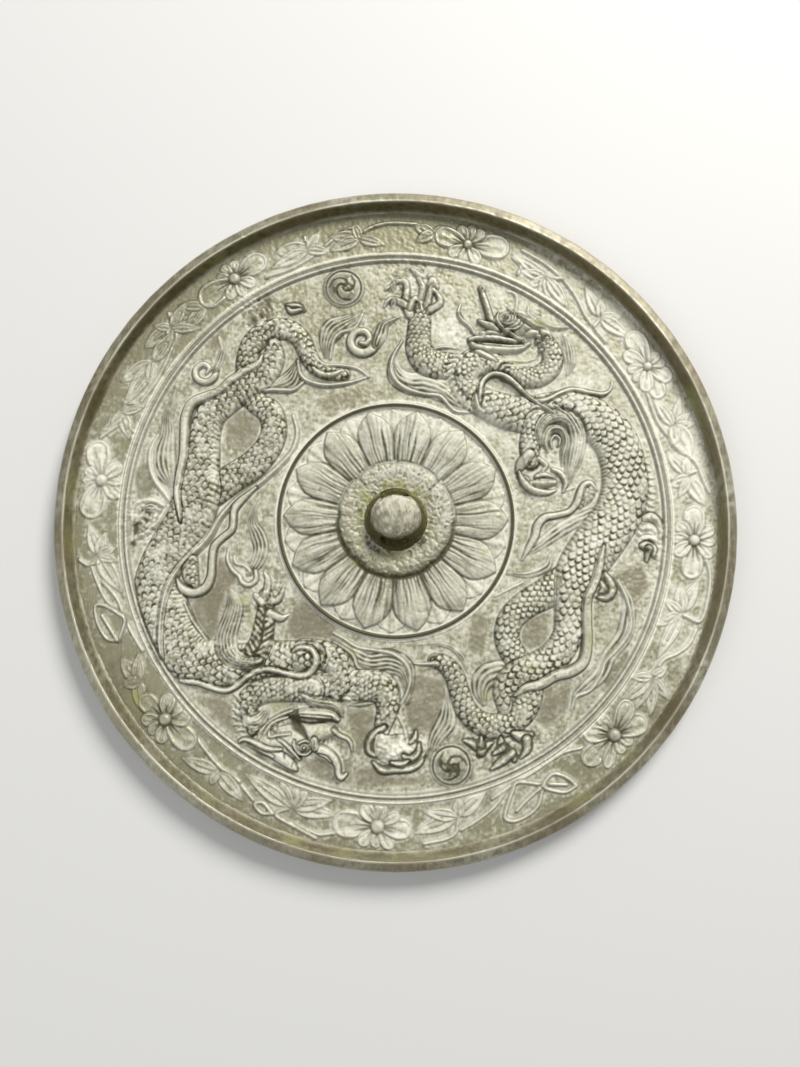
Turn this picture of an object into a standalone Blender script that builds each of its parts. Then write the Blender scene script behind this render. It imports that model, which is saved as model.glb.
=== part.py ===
"""Ancient bronze mirror with two dragons, cast in one piece and lying with its pattern side up.

The origin is the centre of the flat reflecting face, which is the underside, and +Z points up through
the pierced knob. Every length below is in millimetres; the script scales them to metres.
"""
import math

import bpy
import bmesh
from mathutils import Vector

MM = 0.001

# Driving dimensions of the casting.
OUTER_RADIUS = 110.0
PLATE_THICKNESS = 3.0
RIM_CREST_RADIUS = 106.7
RIM_FOOT_RADIUS = 105.0
RIM_HEIGHT = 5.0
RIM_FALL = 0.7
UNDERSIDE_CHAMFER = 0.5
DOUBLE_RING_RADIUS = 89.1
LOTUS_RING_RADIUS = 38.2
POD_RADIUS = 19.3
POD_HEIGHT = 0.9
KNOB_RADIUS = 10.0
KNOB_TOP_RADIUS = 6.6
KNOB_HEIGHT = 9.0
TURN_STEPS = 56

# The cord hole runs through the knob along Y.
HOLE_WIDTH = 9.0
HOLE_HEIGHT = 5.4
HOLE_CORNER = 1.2
HOLE_SHIFT = -0.4

# Relief heights over the field, and how deep each raised form is rooted in the plate.
PETAL_HEIGHT = 1.0
FLOWER_HEIGHT = 1.1
LEAF_HEIGHT = 1.0
VINE_HEIGHT = 0.8
ROOT_DEPTH = 0.8

PETAL_COUNT = 16
POD_LOBES = 8
PEARL_RADIUS = 5.6

# Flowers of the outer band: angle from +X in degrees, and radius of the centre.
FLOWERS = (
    (31.5, 98.2), (75.5, 96.9), (123.7, 98.0), (172.4, 97.4),
    (221.1, 97.3), (266.6, 97.3), (315.2, 97.9), (356.0, 97.4),
)

# Leaf sprays between the flowers: angle and radius of the node, then the tip of each leaf.
SPRAYS = (
    (18.5, 96.7, ((23.0, 101.8), (24.6, 95.2), (14.6, 100.6))),
    (8.8, 97.6, ((3.6, 100.6), (6.8, 92.6))),
    (44.8, 96.4, ((50.4, 101.0), (38.8, 98.6))),
    (57.9, 96.4, ((65.4, 98.0), (60.4, 92.0), (52.2, 92.8))),
    (107.9, 96.6, ((114.0, 99.6), (102.6, 100.4), (112.8, 94.6))),
    (98.0, 98.2, ((92.2, 101.0),)),
    (139.4, 97.8, ((134.4, 100.8), (145.0, 100.8))),
    (157.2, 97.0, ((163.6, 100.6), (162.0, 92.8), (150.0, 99.4))),
    (186.8, 97.2, ((194.0, 92.8), (181.4, 100.4))),
    (204.0, 97.0, ((196.4, 100.6), (200.4, 93.0))),
    (235.4, 98.4, ((229.2, 101.6),)),
    (250.6, 96.6, ((257.8, 94.8), (250.4, 92.0), (241.6, 93.4))),
    (281.8, 96.6, ((287.8, 91.8), (274.2, 99.4))),
    (299.0, 96.2, ((304.0, 102.0),)),
    (341.8, 97.0, ((348.4, 100.6), (344.4, 92.6), (333.6, 94.8))),
    (328.0, 97.4, ((322.0, 101.6),)),
)

# The scroll's stem, one run between each two flowers: angles and radii.
STEMS = (
    ((27.4, 93.6), (22.0, 92.6), (16.4, 94.6), (11.6, 98.6), (8.4, 101.4), (2.0, 102.6)),
    ((68.0, 103.2), (60.0, 101.2), (55.6, 99.2), (51.0, 96.0), (46.0, 93.4), (37.0, 93.0)),
    ((119.6, 93.2), (113.0, 92.6), (106.0, 93.8), (100.0, 98.0), (92.0, 102.2), (83.0, 103.0)),
    ((168.0, 102.6), (160.0, 102.8), (153.0, 100.2), (146.6, 96.6), (137.0, 92.8), (129.0, 93.0)),
    ((216.0, 92.8), (209.0, 92.4), (201.0, 93.2), (194.0, 97.4), (187.4, 101.4), (178.0, 103.2)),
    ((262.0, 102.4), (255.0, 102.2), (248.0, 101.0), (242.0, 97.6), (233.0, 94.6), (226.0, 92.6)),
    ((310.0, 92.6), (303.0, 92.2), (296.0, 92.8), (289.0, 97.6), (282.0, 102.0), (272.4, 103.2)),
    ((352.0, 101.6), (346.0, 102.8), (340.0, 101.8), (334.0, 99.6), (327.0, 95.4), (319.4, 92.8)),
)

# Dragon with its head at the upper right. Each stroke is a run of (x, y, half width, height).
EAST_BODY = (
    ((46, 62.5, 3.0, 2.2), (51, 58.5, 3.4, 2.2), (52.3, 53, 3.6, 2.2), (48.5, 48.2, 3.6, 2.2),
     (43, 47.3, 3.5, 2.1), (37, 49.6, 3.5, 2.0), (30, 52.5, 4.0, 2.0), (24.5, 52, 4.6, 2.2),
     (22, 46.5, 4.8, 2.3), (25, 41, 4.8, 2.3), (31, 38, 5.0, 2.3), (38, 35.5, 5.5, 2.4)),
    ((34, 37, 4.2, 2.1), (42, 35, 5.6, 2.4), (54, 36, 6.6, 2.6), (61, 35.5, 6.8, 2.7),
     (67.5, 32, 7.0, 2.8), (72.5, 26, 7.0, 2.8), (75, 18.5, 7.2, 2.8), (75.5, 10.5, 7.4, 2.8),
     (73, 2.5, 7.6, 2.8), (68.5, -4.5, 7.8, 2.8), (63, -11, 7.8, 2.7), (58.5, -18, 7.4, 2.6),
     (56, -25, 5.8, 2.4), (55.5, -32, 4.9, 2.3), (54.5, -39, 4.9, 2.3), (50.5, -45, 5.0, 2.3),
     (44, -48.5, 4.8, 2.3), (37.5, -51, 4.6, 2.2), (33.5, -55.5, 3.6, 1.8), (34, -61, 2.4, 1.4)),
    ((54, -19, 5.0, 2.2), (48, -24, 4.8, 2.2), (41.5, -27.5, 4.3, 2.2), (36.3, -33, 4.0, 2.1),
     (35.5, -39.5, 3.9, 2.1), (39, -45.5, 4.0, 1.9), (43, -51, 4.0, 1.9), (42.5, -57.5, 4.0, 2.1),
     (39, -62.5, 3.9, 2.2), (33, -65.3, 3.8, 2.2), (27, -64, 3.6, 2.2), (22.5, -59.5, 3.3, 2.1),
     (20, -53.5, 3.1, 2.0), (17.5, -48, 2.8, 1.9), (13, -45, 2.4, 1.6), (8.5, -45.4, 0.8, 1.0)),
    ((24, 51.5, 4.0, 1.9), (17, 52, 4.4, 2.1), (10.5, 53.5, 4.6, 2.3), (7.6, 57.5, 4.2, 2.2),
     (7.6, 63, 3.6, 2.1), (8, 68, 3.2, 2.0), (8.3, 72, 2.4, 1.8)),
    ((46, 33, 4.2, 2.0), (44.3, 27.5, 3.6, 2.1), (43.5, 22.5, 3.0, 2.0), (45, 18, 2.6, 1.9)),
    ((47, 63, 3.0, 2.3), (42, 65.5, 4.2, 2.7), (37, 67, 4.2, 2.9), (33, 65.5, 3.2, 2.5),
     (30, 63.5, 2.4, 2.0), (27, 62.5, 1.2, 1.5)),
    ((45, 60.5, 1.4, 1.8), (40, 58.4, 1.8, 1.9), (34, 59.2, 1.9, 1.9), (28, 60, 1.8, 1.8),
     (24.6, 59.4, 1.0, 1.4)),
)
EAST_TRIM = (
    ((7, 70.5, 1.5, 1.7), (4.5, 75, 1.4, 1.6), (2, 79.4, 1.2, 1.4), (-2.6, 78, 0.4, 0.8)),
    ((6.4, 69.4, 1.5, 1.6), (3, 72.8, 1.3, 1.5), (-0.5, 74.2, 1.1, 1.3), (-3.2, 72.2, 0.4, 0.8)),
    ((8.8, 70.8, 1.5, 1.6), (9.5, 77, 1.4, 1.5), (8.5, 81, 1.2, 1.3), (6.4, 83.6, 0.4, 0.8)),
    ((9.4, 71, 1.5, 1.6), (13.6, 73.2, 1.5, 1.6), (14.6, 76, 1.2, 1.4), (12, 80.6, 0.5, 0.9)),
    ((44.6, 19.6, 1.8, 1.75), (41.6, 14.5, 1.6, 1.7), (43, 10.8, 1.4, 1.6), (48.6, 9.4, 0.4, 0.9)),
    ((44.3, 20.4, 1.6, 1.7), (48, 15.8, 1.3, 1.5), (53, 14.8, 0.4, 0.9)),
    ((33.4, 67, 1.2, 2.0), (31, 71, 1.0, 1.8), (29.5, 75.5, 0.9, 1.6), (29, 79, 1.2, 1.4)),
    ((28, 63, 0.9, 1.4), (23.5, 66, 0.8, 1.2), (21.4, 69.6, 0.8, 1.1), (21.8, 73, 0.4, 0.8)),
    ((43, 67, 2.2, 1.6), (49, 66.6, 1.8, 1.3), (54, 65.2, 1.3, 1.1), (59, 64.6, 0.4, 0.7)),
    ((29, 40.5, 0.9, 1.1), (28.3, 44, 1.0, 1.3), (29.8, 47.8, 1.0, 1.4), (33.5, 48.8, 1.0, 1.4),
     (38.5, 45.8, 1.0, 1.3), (43.5, 41.5, 1.0, 1.3), (48, 39.7, 1.0, 1.3), (53, 41.4, 1.0, 1.3),
     (58, 43.3, 1.0, 1.3), (65, 42, 1.0, 1.2), (71.4, 45, 0.4, 0.8)),
    ((1, 54, 1.2, 0.9), (1.6, 48.6, 2.2, 1.1), (6, 45.2, 2.6, 1.2), (12, 43.8, 2.6, 1.1),
     (18, 40.8, 2.0, 1.0), (23.4, 36.8, 0.5, 0.6)),
    ((66, -13, 1.2, 1.8), (65, -19, 1.4, 2.0), (61.8, -25.5, 1.6, 2.1), (61.3, -33, 1.6, 2.2),
     (61, -41, 1.6, 2.1), (58, -48, 1.6, 2.0), (51, -50.8, 1.4, 1.8), (45, -53.6, 1.3, 1.7),
     (39.6, -56, 0.5, 1.1)),
    ((71.5, -19.5, 0.8, 0.9), (75, -27, 1.8, 1.2), (74, -35.5, 2.2, 1.2), (69.5, -43, 2.3, 1.1),
     (65.5, -50.5, 1.9, 1.0), (59.5, -56.5, 1.2, 0.9), (56.6, -60, 0.4, 0.6)),
    ((37, -46.8, 0.9, 1.0), (31, -46.6, 1.8, 1.2), (26.4, -49.6, 1.7, 1.1), (25, -54, 0.8, 0.8)),
    ((42.5, -9.5, 0.5, 0.8), (45.8, -5.2, 1.0, 1.1), (48, -0.6, 1.1, 1.2), (52, 1.5, 1.1, 1.2),
     (56.5, 2.5, 1.1, 1.2), (59.3, 6, 1.1, 1.3), (60.8, 10, 1.1, 1.3), (64, 11.8, 1.0, 1.2),
     (68, 9.4, 0.6, 0.9)),
    ((50, -12.6, 0.5, 0.7), (53, -7, 1.5, 1.0), (58, -2.8, 1.7, 1.1), (64.5, 0.6, 1.4, 1.1)),
    ((79, -7.6, 1.1, 1.2), (82, -3, 1.4, 1.4), (85, -1.6, 1.0, 1.2), (86, -5.4, 0.4, 0.8)),
    ((78.6, -9.6, 1.1, 1.2), (82.6, -9.4, 1.4, 1.3), (82.4, -13.6, 0.5, 0.8)),
    ((34.4, -68.4, 1.1, 1.3), (34, -73, 1.4, 1.4), (36.6, -75.6, 0.4, 0.8)),
    ((34, -72.6, 1.1, 1.2), (27.6, -73.4, 1.3, 1.3), (22.8, -71.8, 0.4, 0.8)),
    ((38, -68.4, 1.1, 1.2), (41.8, -70.8, 1.3, 1.3), (40.6, -74.8, 0.4, 0.8)),
    ((16, -56, 0.5, 0.7), (15.4, -62, 1.6, 1.0), (13.8, -67.6, 2.0, 1.1), (10.8, -74, 0.6, 0.7)),
)

# Its partner, drawn with the mirror turned by half a turn so that both read the same way up.
WEST_BODY = (
    ((44, 65.5, 3.0, 2.2), (48, 61.5, 3.2, 2.2), (47.3, 56.6, 3.4, 2.2), (41, 54, 3.7, 2.2),
     (33, 54, 3.8, 2.1), (25, 54.6, 4.2, 2.1), (19, 53.2, 4.6, 2.2), (17.3, 48, 4.7, 2.3),
     (20.5, 43.9, 4.4, 2.3), (27, 43.8, 4.6, 2.3), (34, 44.3, 4.8, 2.4)),
    ((29, 44, 4.2, 2.1), (38, 44.5, 5.2, 2.4), (46, 46, 6.0, 2.5), (54, 47.4, 6.5, 2.6),
     (62, 46, 7.0, 2.7), (69.5, 41, 7.6, 2.8), (74, 33.5, 8.2, 2.8), (75.8, 25, 8.3, 2.8),
     (75.5, 17, 8.2, 2.8), (73, 9.5, 8.2, 2.8), (69.5, 2, 8.0, 2.8), (65.5, -6, 7.2, 2.7),
     (63, -14, 6.4, 2.6), (62, -22, 5.6, 2.4), (62, -29.5, 5.2, 2.3), (59.5, -36, 5.0, 2.3),
     (54, -41.2, 4.8, 2.3), (48, -46, 4.6, 2.3), (42.5, -51, 4.2, 2.1), (40.5, -58, 2.4, 1.4)),
    ((57, -11, 5.5, 2.3), (50, -16, 4.8, 2.3), (43.5, -21, 4.5, 2.2), (40.3, -28, 4.3, 2.2),
     (41.5, -35, 4.1, 2.1), (46, -39.5, 3.8, 1.9), (49, -46, 3.4, 1.7), (49.5, -54, 3.4, 1.9),
     (47, -60, 3.7, 2.1), (41, -64.2, 3.6, 2.2), (34.5, -63.8, 3.5, 2.2), (30.3, -58.5, 3.1, 2.1),
     (28.3, -53, 2.8, 2.0), (24, -49.5, 2.8, 1.8), (17, -48.7, 2.4, 1.5), (9.5, -48.2, 0.5, 0.9)),
    ((19, 53, 4.0, 1.9), (12, 53, 4.4, 2.1), (5.5, 54.2, 4.6, 2.3), (2.6, 58, 4.2, 2.2),
     (2.5, 63, 3.4, 2.1), (2.8, 67, 3.0, 2.0), (2.4, 70.6, 2.2, 1.8)),
    ((46, 46, 4.0, 2.0), (43.5, 40, 3.6, 2.1), (42.5, 34, 3.2, 2.0), (42, 27.6, 2.6, 1.9)),
    ((44, 67, 3.0, 2.3), (38, 69, 4.4, 2.7), (32, 71, 4.5, 2.9), (27, 70.3, 3.2, 2.5),
     (22.5, 69, 2.2, 2.0), (19, 68.2, 1.1, 1.5)),
    ((37, 64, 1.4, 1.8), (33, 61.8, 1.8, 1.9), (27.5, 61.2, 2.2, 1.9), (22.5, 62, 2.0, 1.8),
     (18.4, 63, 1.0, 1.4)),
)
WEST_TRIM = (
    ((2.4, 70, 1.5, 1.6), (-2, 74, 1.4, 1.6), (-4.4, 77.6, 1.2, 1.4), (-2, 80.4, 1.0, 1.2),
     (3.4, 80.8, 0.9, 1.1), (6.2, 79, 0.4, 0.8)),
    ((3, 69, 1.5, 1.6), (7, 71, 1.2, 1.4), (8, 73.6, 1.0, 1.2), (5.4, 75.8, 0.4, 0.8)),
    ((2.4, 69, 1.5, 1.6), (-2.6, 70.2, 1.2, 1.4), (-5.6, 72, 1.0, 1.2), (-8, 71, 0.4, 0.8)),
    ((42, 28, 1.5, 1.7), (39.4, 24.4, 1.3, 1.5), (36.6, 21.6, 0.4, 0.9)),
    ((42.4, 27, 1.5, 1.6), (44, 22, 1.2, 1.4), (43, 17.8, 0.4, 0.9)),
    ((41, 30, 1.4, 1.6), (37.2, 31.4, 1.2, 1.4), (35.2, 34, 0.4, 0.9)),
    ((24.5, 72.5, 1.3, 2.1), (21.5, 75.8, 1.2, 1.8), (19, 79, 1.0, 1.6), (17.2, 82, 1.0, 1.3)),
    ((19.6, 67.5, 0.9, 1.4), (16.6, 69.4, 0.8, 1.2), (14.2, 73.4, 0.4, 0.8)),
    ((33, 74, 1.8, 1.8), (36, 77, 1.3, 1.4), (33.4, 79.4, 0.5, 0.9)),
    ((37, 73, 1.6, 1.6), (42, 73, 1.2, 1.3), (46.4, 71, 0.9, 1.1), (50, 71, 0.4, 0.8)),
    ((28.5, 42, 0.9, 1.2), (25.4, 45.4, 1.0, 1.3), (26.2, 49.2, 1.0, 1.4), (31, 50.2, 1.0, 1.4),
     (37, 49, 1.0, 1.4), (43, 49.1, 1.0, 1.4), (47.5, 51.3, 1.0, 1.3), (51.6, 54.3, 1.0, 1.3),
     (56.4, 55.4, 1.0, 1.2), (61.4, 53.6, 0.9, 1.1), (67.6, 52, 0.4, 0.8)),
    ((-3.6, 56, 0.9, 0.9), (-3.6, 49.6, 2.0, 1.1), (1, 45.9, 2.5, 1.2), (8, 45.6, 2.5, 1.2),
     (14, 43.2, 2.1, 1.0), (20, 39.2, 0.5, 0.6)),
    ((49, 46.6, 1.5, 2.8), (54, 44.2, 2.8, 3.0), (55.2, 38.5, 3.2, 1.6), (53, 31.5, 3.0, 1.3),
     (55.4, 24.4, 0.6, 0.8)),
    ((70.5, -4.5, 1.1, 1.8), (72, -11, 1.3, 1.9), (71, -18, 1.4, 2.0), (69.8, -26, 1.5, 2.1),
     (69.3, -33, 1.6, 2.1), (66.6, -39, 1.6, 2.1), (60.8, -41.8, 1.5, 2.0), (56, -46, 1.4, 1.9),
     (50, -49.5, 1.4, 1.8), (45, -52.8, 0.5, 1.1)),
    ((75, -6, 0.6, 0.8), (79.4, -13, 1.6, 1.1), (79, -20, 2.1, 1.2), (76, -27, 1.7, 1.1),
     (75, -34, 1.2, 1.0), (73, -43, 0.4, 0.6)),
    ((45.6, -42.6, 0.7, 1.0), (39, -43.6, 1.5, 1.2), (33.4, -46, 1.7, 1.2), (33, -51, 0.8, 0.9)),
    ((47, -9.3, 0.5, 0.8), (51, -6.6, 1.1, 1.2), (53.3, -1, 1.2, 1.4), (54.2, 3.5, 1.2, 1.4),
     (58, 7, 1.2, 1.4), (59.3, 12, 1.2, 1.4), (59.5, 19, 1.3, 1.5), (61.7, 23, 1.4, 1.6),
     (66, 24.4, 1.4, 1.8), (70, 21, 0.8, 1.3)),
    ((79.6, 3, 1.1, 1.2), (84, 4.4, 1.4, 1.4), (85.6, 1.8, 0.4, 0.8)),
    ((77.4, 0, 1.1, 1.2), (81.4, -0.2, 1.4, 1.4), (82.6, -3.4, 0.4, 0.8)),
    ((46.4, -63.6, 1.2, 1.4), (47.8, -67.2, 1.5, 1.5), (49, -70, 0.5, 0.8)),
    ((37, -67, 1.0, 1.2), (34.4, -70.6, 1.3, 1.3), (30.4, -72.4, 0.4, 0.8)),
    ((48.6, 21, 1.1, 1.0), (45.4, 17, 1.5, 1.2), (43.2, 11, 1.8, 1.2), (45, 5.4, 1.7, 1.1),
     (47, 0.6, 1.2, 1.0), (44.4, -5.4, 0.4, 0.7)),
    ((49.6, 19.4, 0.9, 1.0), (53.4, 15.4, 1.1, 1.1), (54.2, 11, 0.4, 0.7)),
    ((22.4, -54.4, 0.5, 0.7), (21.6, -60, 1.7, 1.0), (19.6, -64, 2.3, 1.1), (14, -65.8, 1.4, 1.0),
     (11, -69.4, 0.5, 0.7)),
    ((12, -60.4, 1.6, 1.3), (13.6, -57.6, 1.4, 1.3), (11, -55.4, 1.4, 1.3), (7.6, -57, 1.4, 1.2),
     (5.8, -61, 1.4, 1.1), (4.4, -65, 1.0, 0.9), (0.6, -67, 0.4, 0.6)),
    ((62.6, -49.4, 1.1, 1.1), (64.6, -47.2, 1.0, 1.1), (62.6, -45.4, 1.0, 1.1),
     (60.2, -48, 0.9, 1.0), (58.2, -53, 1.0, 0.9), (59, -60, 0.4, 0.6)),
)

STROKE_STEP = 9.0
TRIM_STEP = 6.5
STEM_STEP = 8.0
SHARP_ANGLE = math.radians(35.0)
BRONZE_COLOUR = (0.235, 0.222, 0.165, 1.0)
BRONZE_ROUGHNESS = 0.52
BRONZE_METALLIC = 0.85


def clear_scene():
    for obj in list(bpy.data.objects):
        bpy.data.objects.remove(obj, do_unlink=True)


def bronze():
    material = bpy.data.materials.new("bronze")
    material.use_nodes = True
    shader = material.node_tree.nodes["Principled BSDF"]
    shader.inputs["Base Color"].default_value = BRONZE_COLOUR
    shader.inputs["Roughness"].default_value = BRONZE_ROUGHNESS
    shader.inputs["Metallic"].default_value = BRONZE_METALLIC
    return material


def new_object(name, mesh_maker, collection=None):
    """Object from a bmesh drawn in millimetres. One in a collection is only there for a Boolean."""
    mesh = bpy.data.meshes.new(name)
    bm = bmesh.new()
    mesh_maker(bm)
    bmesh.ops.scale(bm, vec=(MM, MM, MM), verts=bm.verts)
    bm.to_mesh(mesh)
    bm.free()
    obj = bpy.data.objects.new(name, mesh)
    helper = collection is not None
    (collection if helper else bpy.context.scene.collection).objects.link(obj)
    obj.hide_render = helper
    obj.display_type = "WIRE" if helper else "TEXTURED"
    return obj


def polar(angle_deg, radius):
    angle = math.radians(angle_deg)
    return Vector((radius * math.cos(angle), radius * math.sin(angle), 0.0))


def smooth_run(points, step):
    """Even samples along a Catmull-Rom curve through the points, whatever else each one carries."""
    rows = [Vector(point) for point in points]
    rows = [2 * rows[0] - rows[1]] + rows + [2 * rows[-1] - rows[-2]]
    samples = [rows[1]]
    for before, start, end, after in zip(rows, rows[1:], rows[2:], rows[3:]):
        count = max(1, round((end.xy - start.xy).length / step))
        for index in range(1, count + 1):
            t = index / count
            samples.append(0.5 * (
                2 * start + (end - before) * t
                + (2 * before - 5 * start + 4 * end - after) * t ** 2
                + (3 * start - before - 3 * end + after) * t ** 3
            ))
    return samples


def add_ridge(bm, samples, section):
    """Closed sweep rooted in the plate. A sample is (x, y, half width, height), and section is the
    cross-section over the field as (part of the half width, part of the height)."""
    field = PLATE_THICKNESS
    rings = []
    for index, sample in enumerate(samples):
        ahead = samples[min(index + 1, len(samples) - 1)]
        behind = samples[max(index - 1, 0)]
        along = (ahead.xy - behind.xy).normalized()
        across = Vector((-along.y, along.x))
        profile = [(-1.0, -ROOT_DEPTH)]
        profile += [(side, rise * sample.w) for side, rise in section]
        profile += [(1.0, -ROOT_DEPTH)]
        rings.append([
            bm.verts.new((*(sample.xy + across * side * sample.z), field + rise))
            for side, rise in profile
        ])
    for ring, following in zip(rings, rings[1:]):
        for corner in range(len(ring)):
            after = (corner + 1) % len(ring)
            bm.faces.new((ring[corner], ring[after], following[after], following[corner]))
    bm.faces.new(rings[0][::-1])
    bm.faces.new(rings[-1])


LIMB_SECTION = ((-1.0, 0.1), (-0.5, 0.94), (0.5, 0.94), (1.0, 0.1))
BLADE_SECTION = ((-1.0, -0.08), (0.0, 1.0), (1.0, -0.08))


def add_pillow(bm, outline, height, inset, foot=None):
    """Closed pad on the outline: upright foot, sloping shoulder and flat top."""
    centre = sum(outline, Vector((0, 0, 0))) / len(outline)
    field = PLATE_THICKNESS
    levels = (
        (1.0, field - ROOT_DEPTH),
        (1.0, field + (height * 0.35 if foot is None else foot)),
        (inset, field + height),
    )
    rings = [
        [bm.verts.new(centre + (point - centre) * grow + Vector((0, 0, level))) for point in outline]
        for grow, level in levels
    ]
    for ring, above in zip(rings, rings[1:]):
        for corner in range(len(ring)):
            after = (corner + 1) % len(ring)
            bm.faces.new((ring[corner], ring[after], above[after], above[corner]))
    bm.faces.new(rings[0][::-1])
    bm.faces.new(rings[-1])


def add_turned(bm, profile, steps=TURN_STEPS):
    """Surface of revolution about +Z, with a flat cap over each end that stops short of the axis."""
    verts = [bm.verts.new((radius, 0.0, height)) for radius, height in profile]
    edges = [bm.edges.new(pair) for pair in zip(verts, verts[1:])]
    bmesh.ops.spin(
        bm, geom=verts + edges, cent=(0, 0, 0), axis=(0, 0, 1), angle=math.tau,
        steps=steps, use_merge=True, use_duplicate=False,
    )
    bmesh.ops.remove_doubles(bm, verts=bm.verts, dist=1e-4)
    open_edges = [edge for edge in bm.edges if edge.is_boundary]
    if open_edges:
        bmesh.ops.holes_fill(bm, edges=open_edges, sides=0)


def add_plate(bm):
    """The plate with its raised rim: steep outside, and sloping in to the field."""
    crest = PLATE_THICKNESS + RIM_HEIGHT
    add_turned(bm, (
        (RIM_FOOT_RADIUS - 1.2, PLATE_THICKNESS), (RIM_FOOT_RADIUS, PLATE_THICKNESS + 0.7),
        (RIM_CREST_RADIUS, crest), (OUTER_RADIUS - 0.5, crest - RIM_FALL),
        (OUTER_RADIUS, crest - RIM_FALL - 0.5), (OUTER_RADIUS, UNDERSIDE_CHAMFER),
        (OUTER_RADIUS - UNDERSIDE_CHAMFER, 0.0),
    ))


def add_rings(bm):
    """Ring round the lotus, and the double ring between the dragons and the outer band."""
    field = PLATE_THICKNESS
    root = field - ROOT_DEPTH
    add_turned(bm, (
        (LOTUS_RING_RADIUS - 1.1, root), (LOTUS_RING_RADIUS - 0.3, field + 1.0),
        (LOTUS_RING_RADIUS + 0.3, field + 1.0), (LOTUS_RING_RADIUS + 1.1, root),
        (LOTUS_RING_RADIUS - 1.1, root),
    ))
    add_turned(bm, (
        (DOUBLE_RING_RADIUS - 1.9, root), (DOUBLE_RING_RADIUS - 1.0, field + 1.1),
        (DOUBLE_RING_RADIUS, field + 0.5), (DOUBLE_RING_RADIUS + 0.8, field + 1.1),
        (DOUBLE_RING_RADIUS + 1.6, root), (DOUBLE_RING_RADIUS - 1.9, root),
    ))


def add_knob(bm):
    """Domed knob, widening into the pod at its foot."""
    field = PLATE_THICKNESS
    knob_top = field + KNOB_HEIGHT
    add_turned(bm, (
        (KNOB_TOP_RADIUS * 0.5, knob_top), (KNOB_TOP_RADIUS * 0.86, knob_top - 0.6),
        (KNOB_TOP_RADIUS + 0.6, knob_top - 2.3), (KNOB_TOP_RADIUS + 2.0, knob_top - 5.0),
        (KNOB_RADIUS - 0.3, field + 1.6), (KNOB_RADIUS + 0.6, field + POD_HEIGHT - 0.3),
        (KNOB_RADIUS + 0.6, field - ROOT_DEPTH * 0.7),
    ), steps=36)


def add_pod(bm):
    """Seed pod round the knob: a low plate with a scalloped edge."""
    corners = POD_LOBES * 3
    outline = []
    for index in range(corners):
        notch = 1.3 if index % 3 == 0 else 0.0
        outline.append(polar(360.0 * index / corners, POD_RADIUS - notch))
    add_pillow(bm, outline, POD_HEIGHT, 0.95)


def add_petals(bm):
    """Open petals side by side between the pod and the ring."""
    inner = POD_RADIUS + 0.8
    outer = LOTUS_RING_RADIUS - 3.0
    pitch = 360.0 / PETAL_COUNT
    shape = ((0.0, 0.62), (0.55, 0.86), (0.9, 0.62))
    for index in range(PETAL_COUNT):
        middle = pitch * (index + 0.5)
        side = [(inner + (outer - inner) * along, wide * pitch * 0.48) for along, wide in shape]
        outline = [polar(middle - spread, radius) for radius, spread in side]
        outline.append(polar(middle, outer + 0.3))
        outline += [polar(middle + spread, radius) for radius, spread in reversed(side)]
        add_pillow(bm, outline, PETAL_HEIGHT, 0.72, foot=0.3)


def add_pearl(bm, centre):
    outline = [centre + polar(36.0 * index, PEARL_RADIUS) for index in range(10)]
    add_pillow(bm, outline, 1.9, 0.55, foot=1.0)


def add_flower(bm, angle, radius):
    """Open blossom whose two petals along the band are longer than the rest."""
    centre = polar(angle, radius)
    outline = []
    for index in range(6):
        turn = 60.0 * index + 90.0
        reach = 4.2 + 2.0 * abs(math.cos(math.radians(turn - 90.0)))
        outline.append(centre + polar(angle + turn - 30.0, 3.2))
        outline.append(centre + polar(angle + turn - 17.0, reach))
        outline.append(centre + polar(angle + turn + 17.0, reach))
    add_pillow(bm, outline, FLOWER_HEIGHT * 0.85, 0.66, foot=0.35)


def add_boss(bm, angle, radius):
    outline = [polar(angle, radius) + polar(60.0 * index, 1.8) for index in range(6)]
    add_pillow(bm, outline, FLOWER_HEIGHT, 0.6, foot=0.95)


def add_spray(bm, angle, radius, tips):
    """Leaves that open out from one node: each swells in its middle and ends in a point."""
    node = polar(angle, radius)
    for tip_angle, tip_radius in tips:
        tip = polar(tip_angle, tip_radius)
        length = (tip - node).length
        root = node.lerp(tip, 0.16)
        middle = node.lerp(tip, 0.6)
        run = [
            Vector((*root.xy, 0.4, LEAF_HEIGHT * 0.7)),
            Vector((*middle.xy, 0.9 + 0.12 * length, LEAF_HEIGHT)),
            Vector((*tip.xy, 0.2, LEAF_HEIGHT * 0.5)),
        ]
        add_ridge(bm, run, BLADE_SECTION)


def add_stem(bm, run):
    points = [(*polar(angle, radius).xy, 0.55, VINE_HEIGHT) for angle, radius in run]
    add_ridge(bm, smooth_run(points, STEM_STEP), BLADE_SECTION)


def turned(strokes):
    """The strokes turned by half a turn about the knob."""
    return [[(-x, -y, wide, high) for x, y, wide, high in stroke] for stroke in strokes]


def add_strokes(bm, strokes, step, section):
    for stroke in strokes:
        add_ridge(bm, smooth_run(stroke, step), section)


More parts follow.
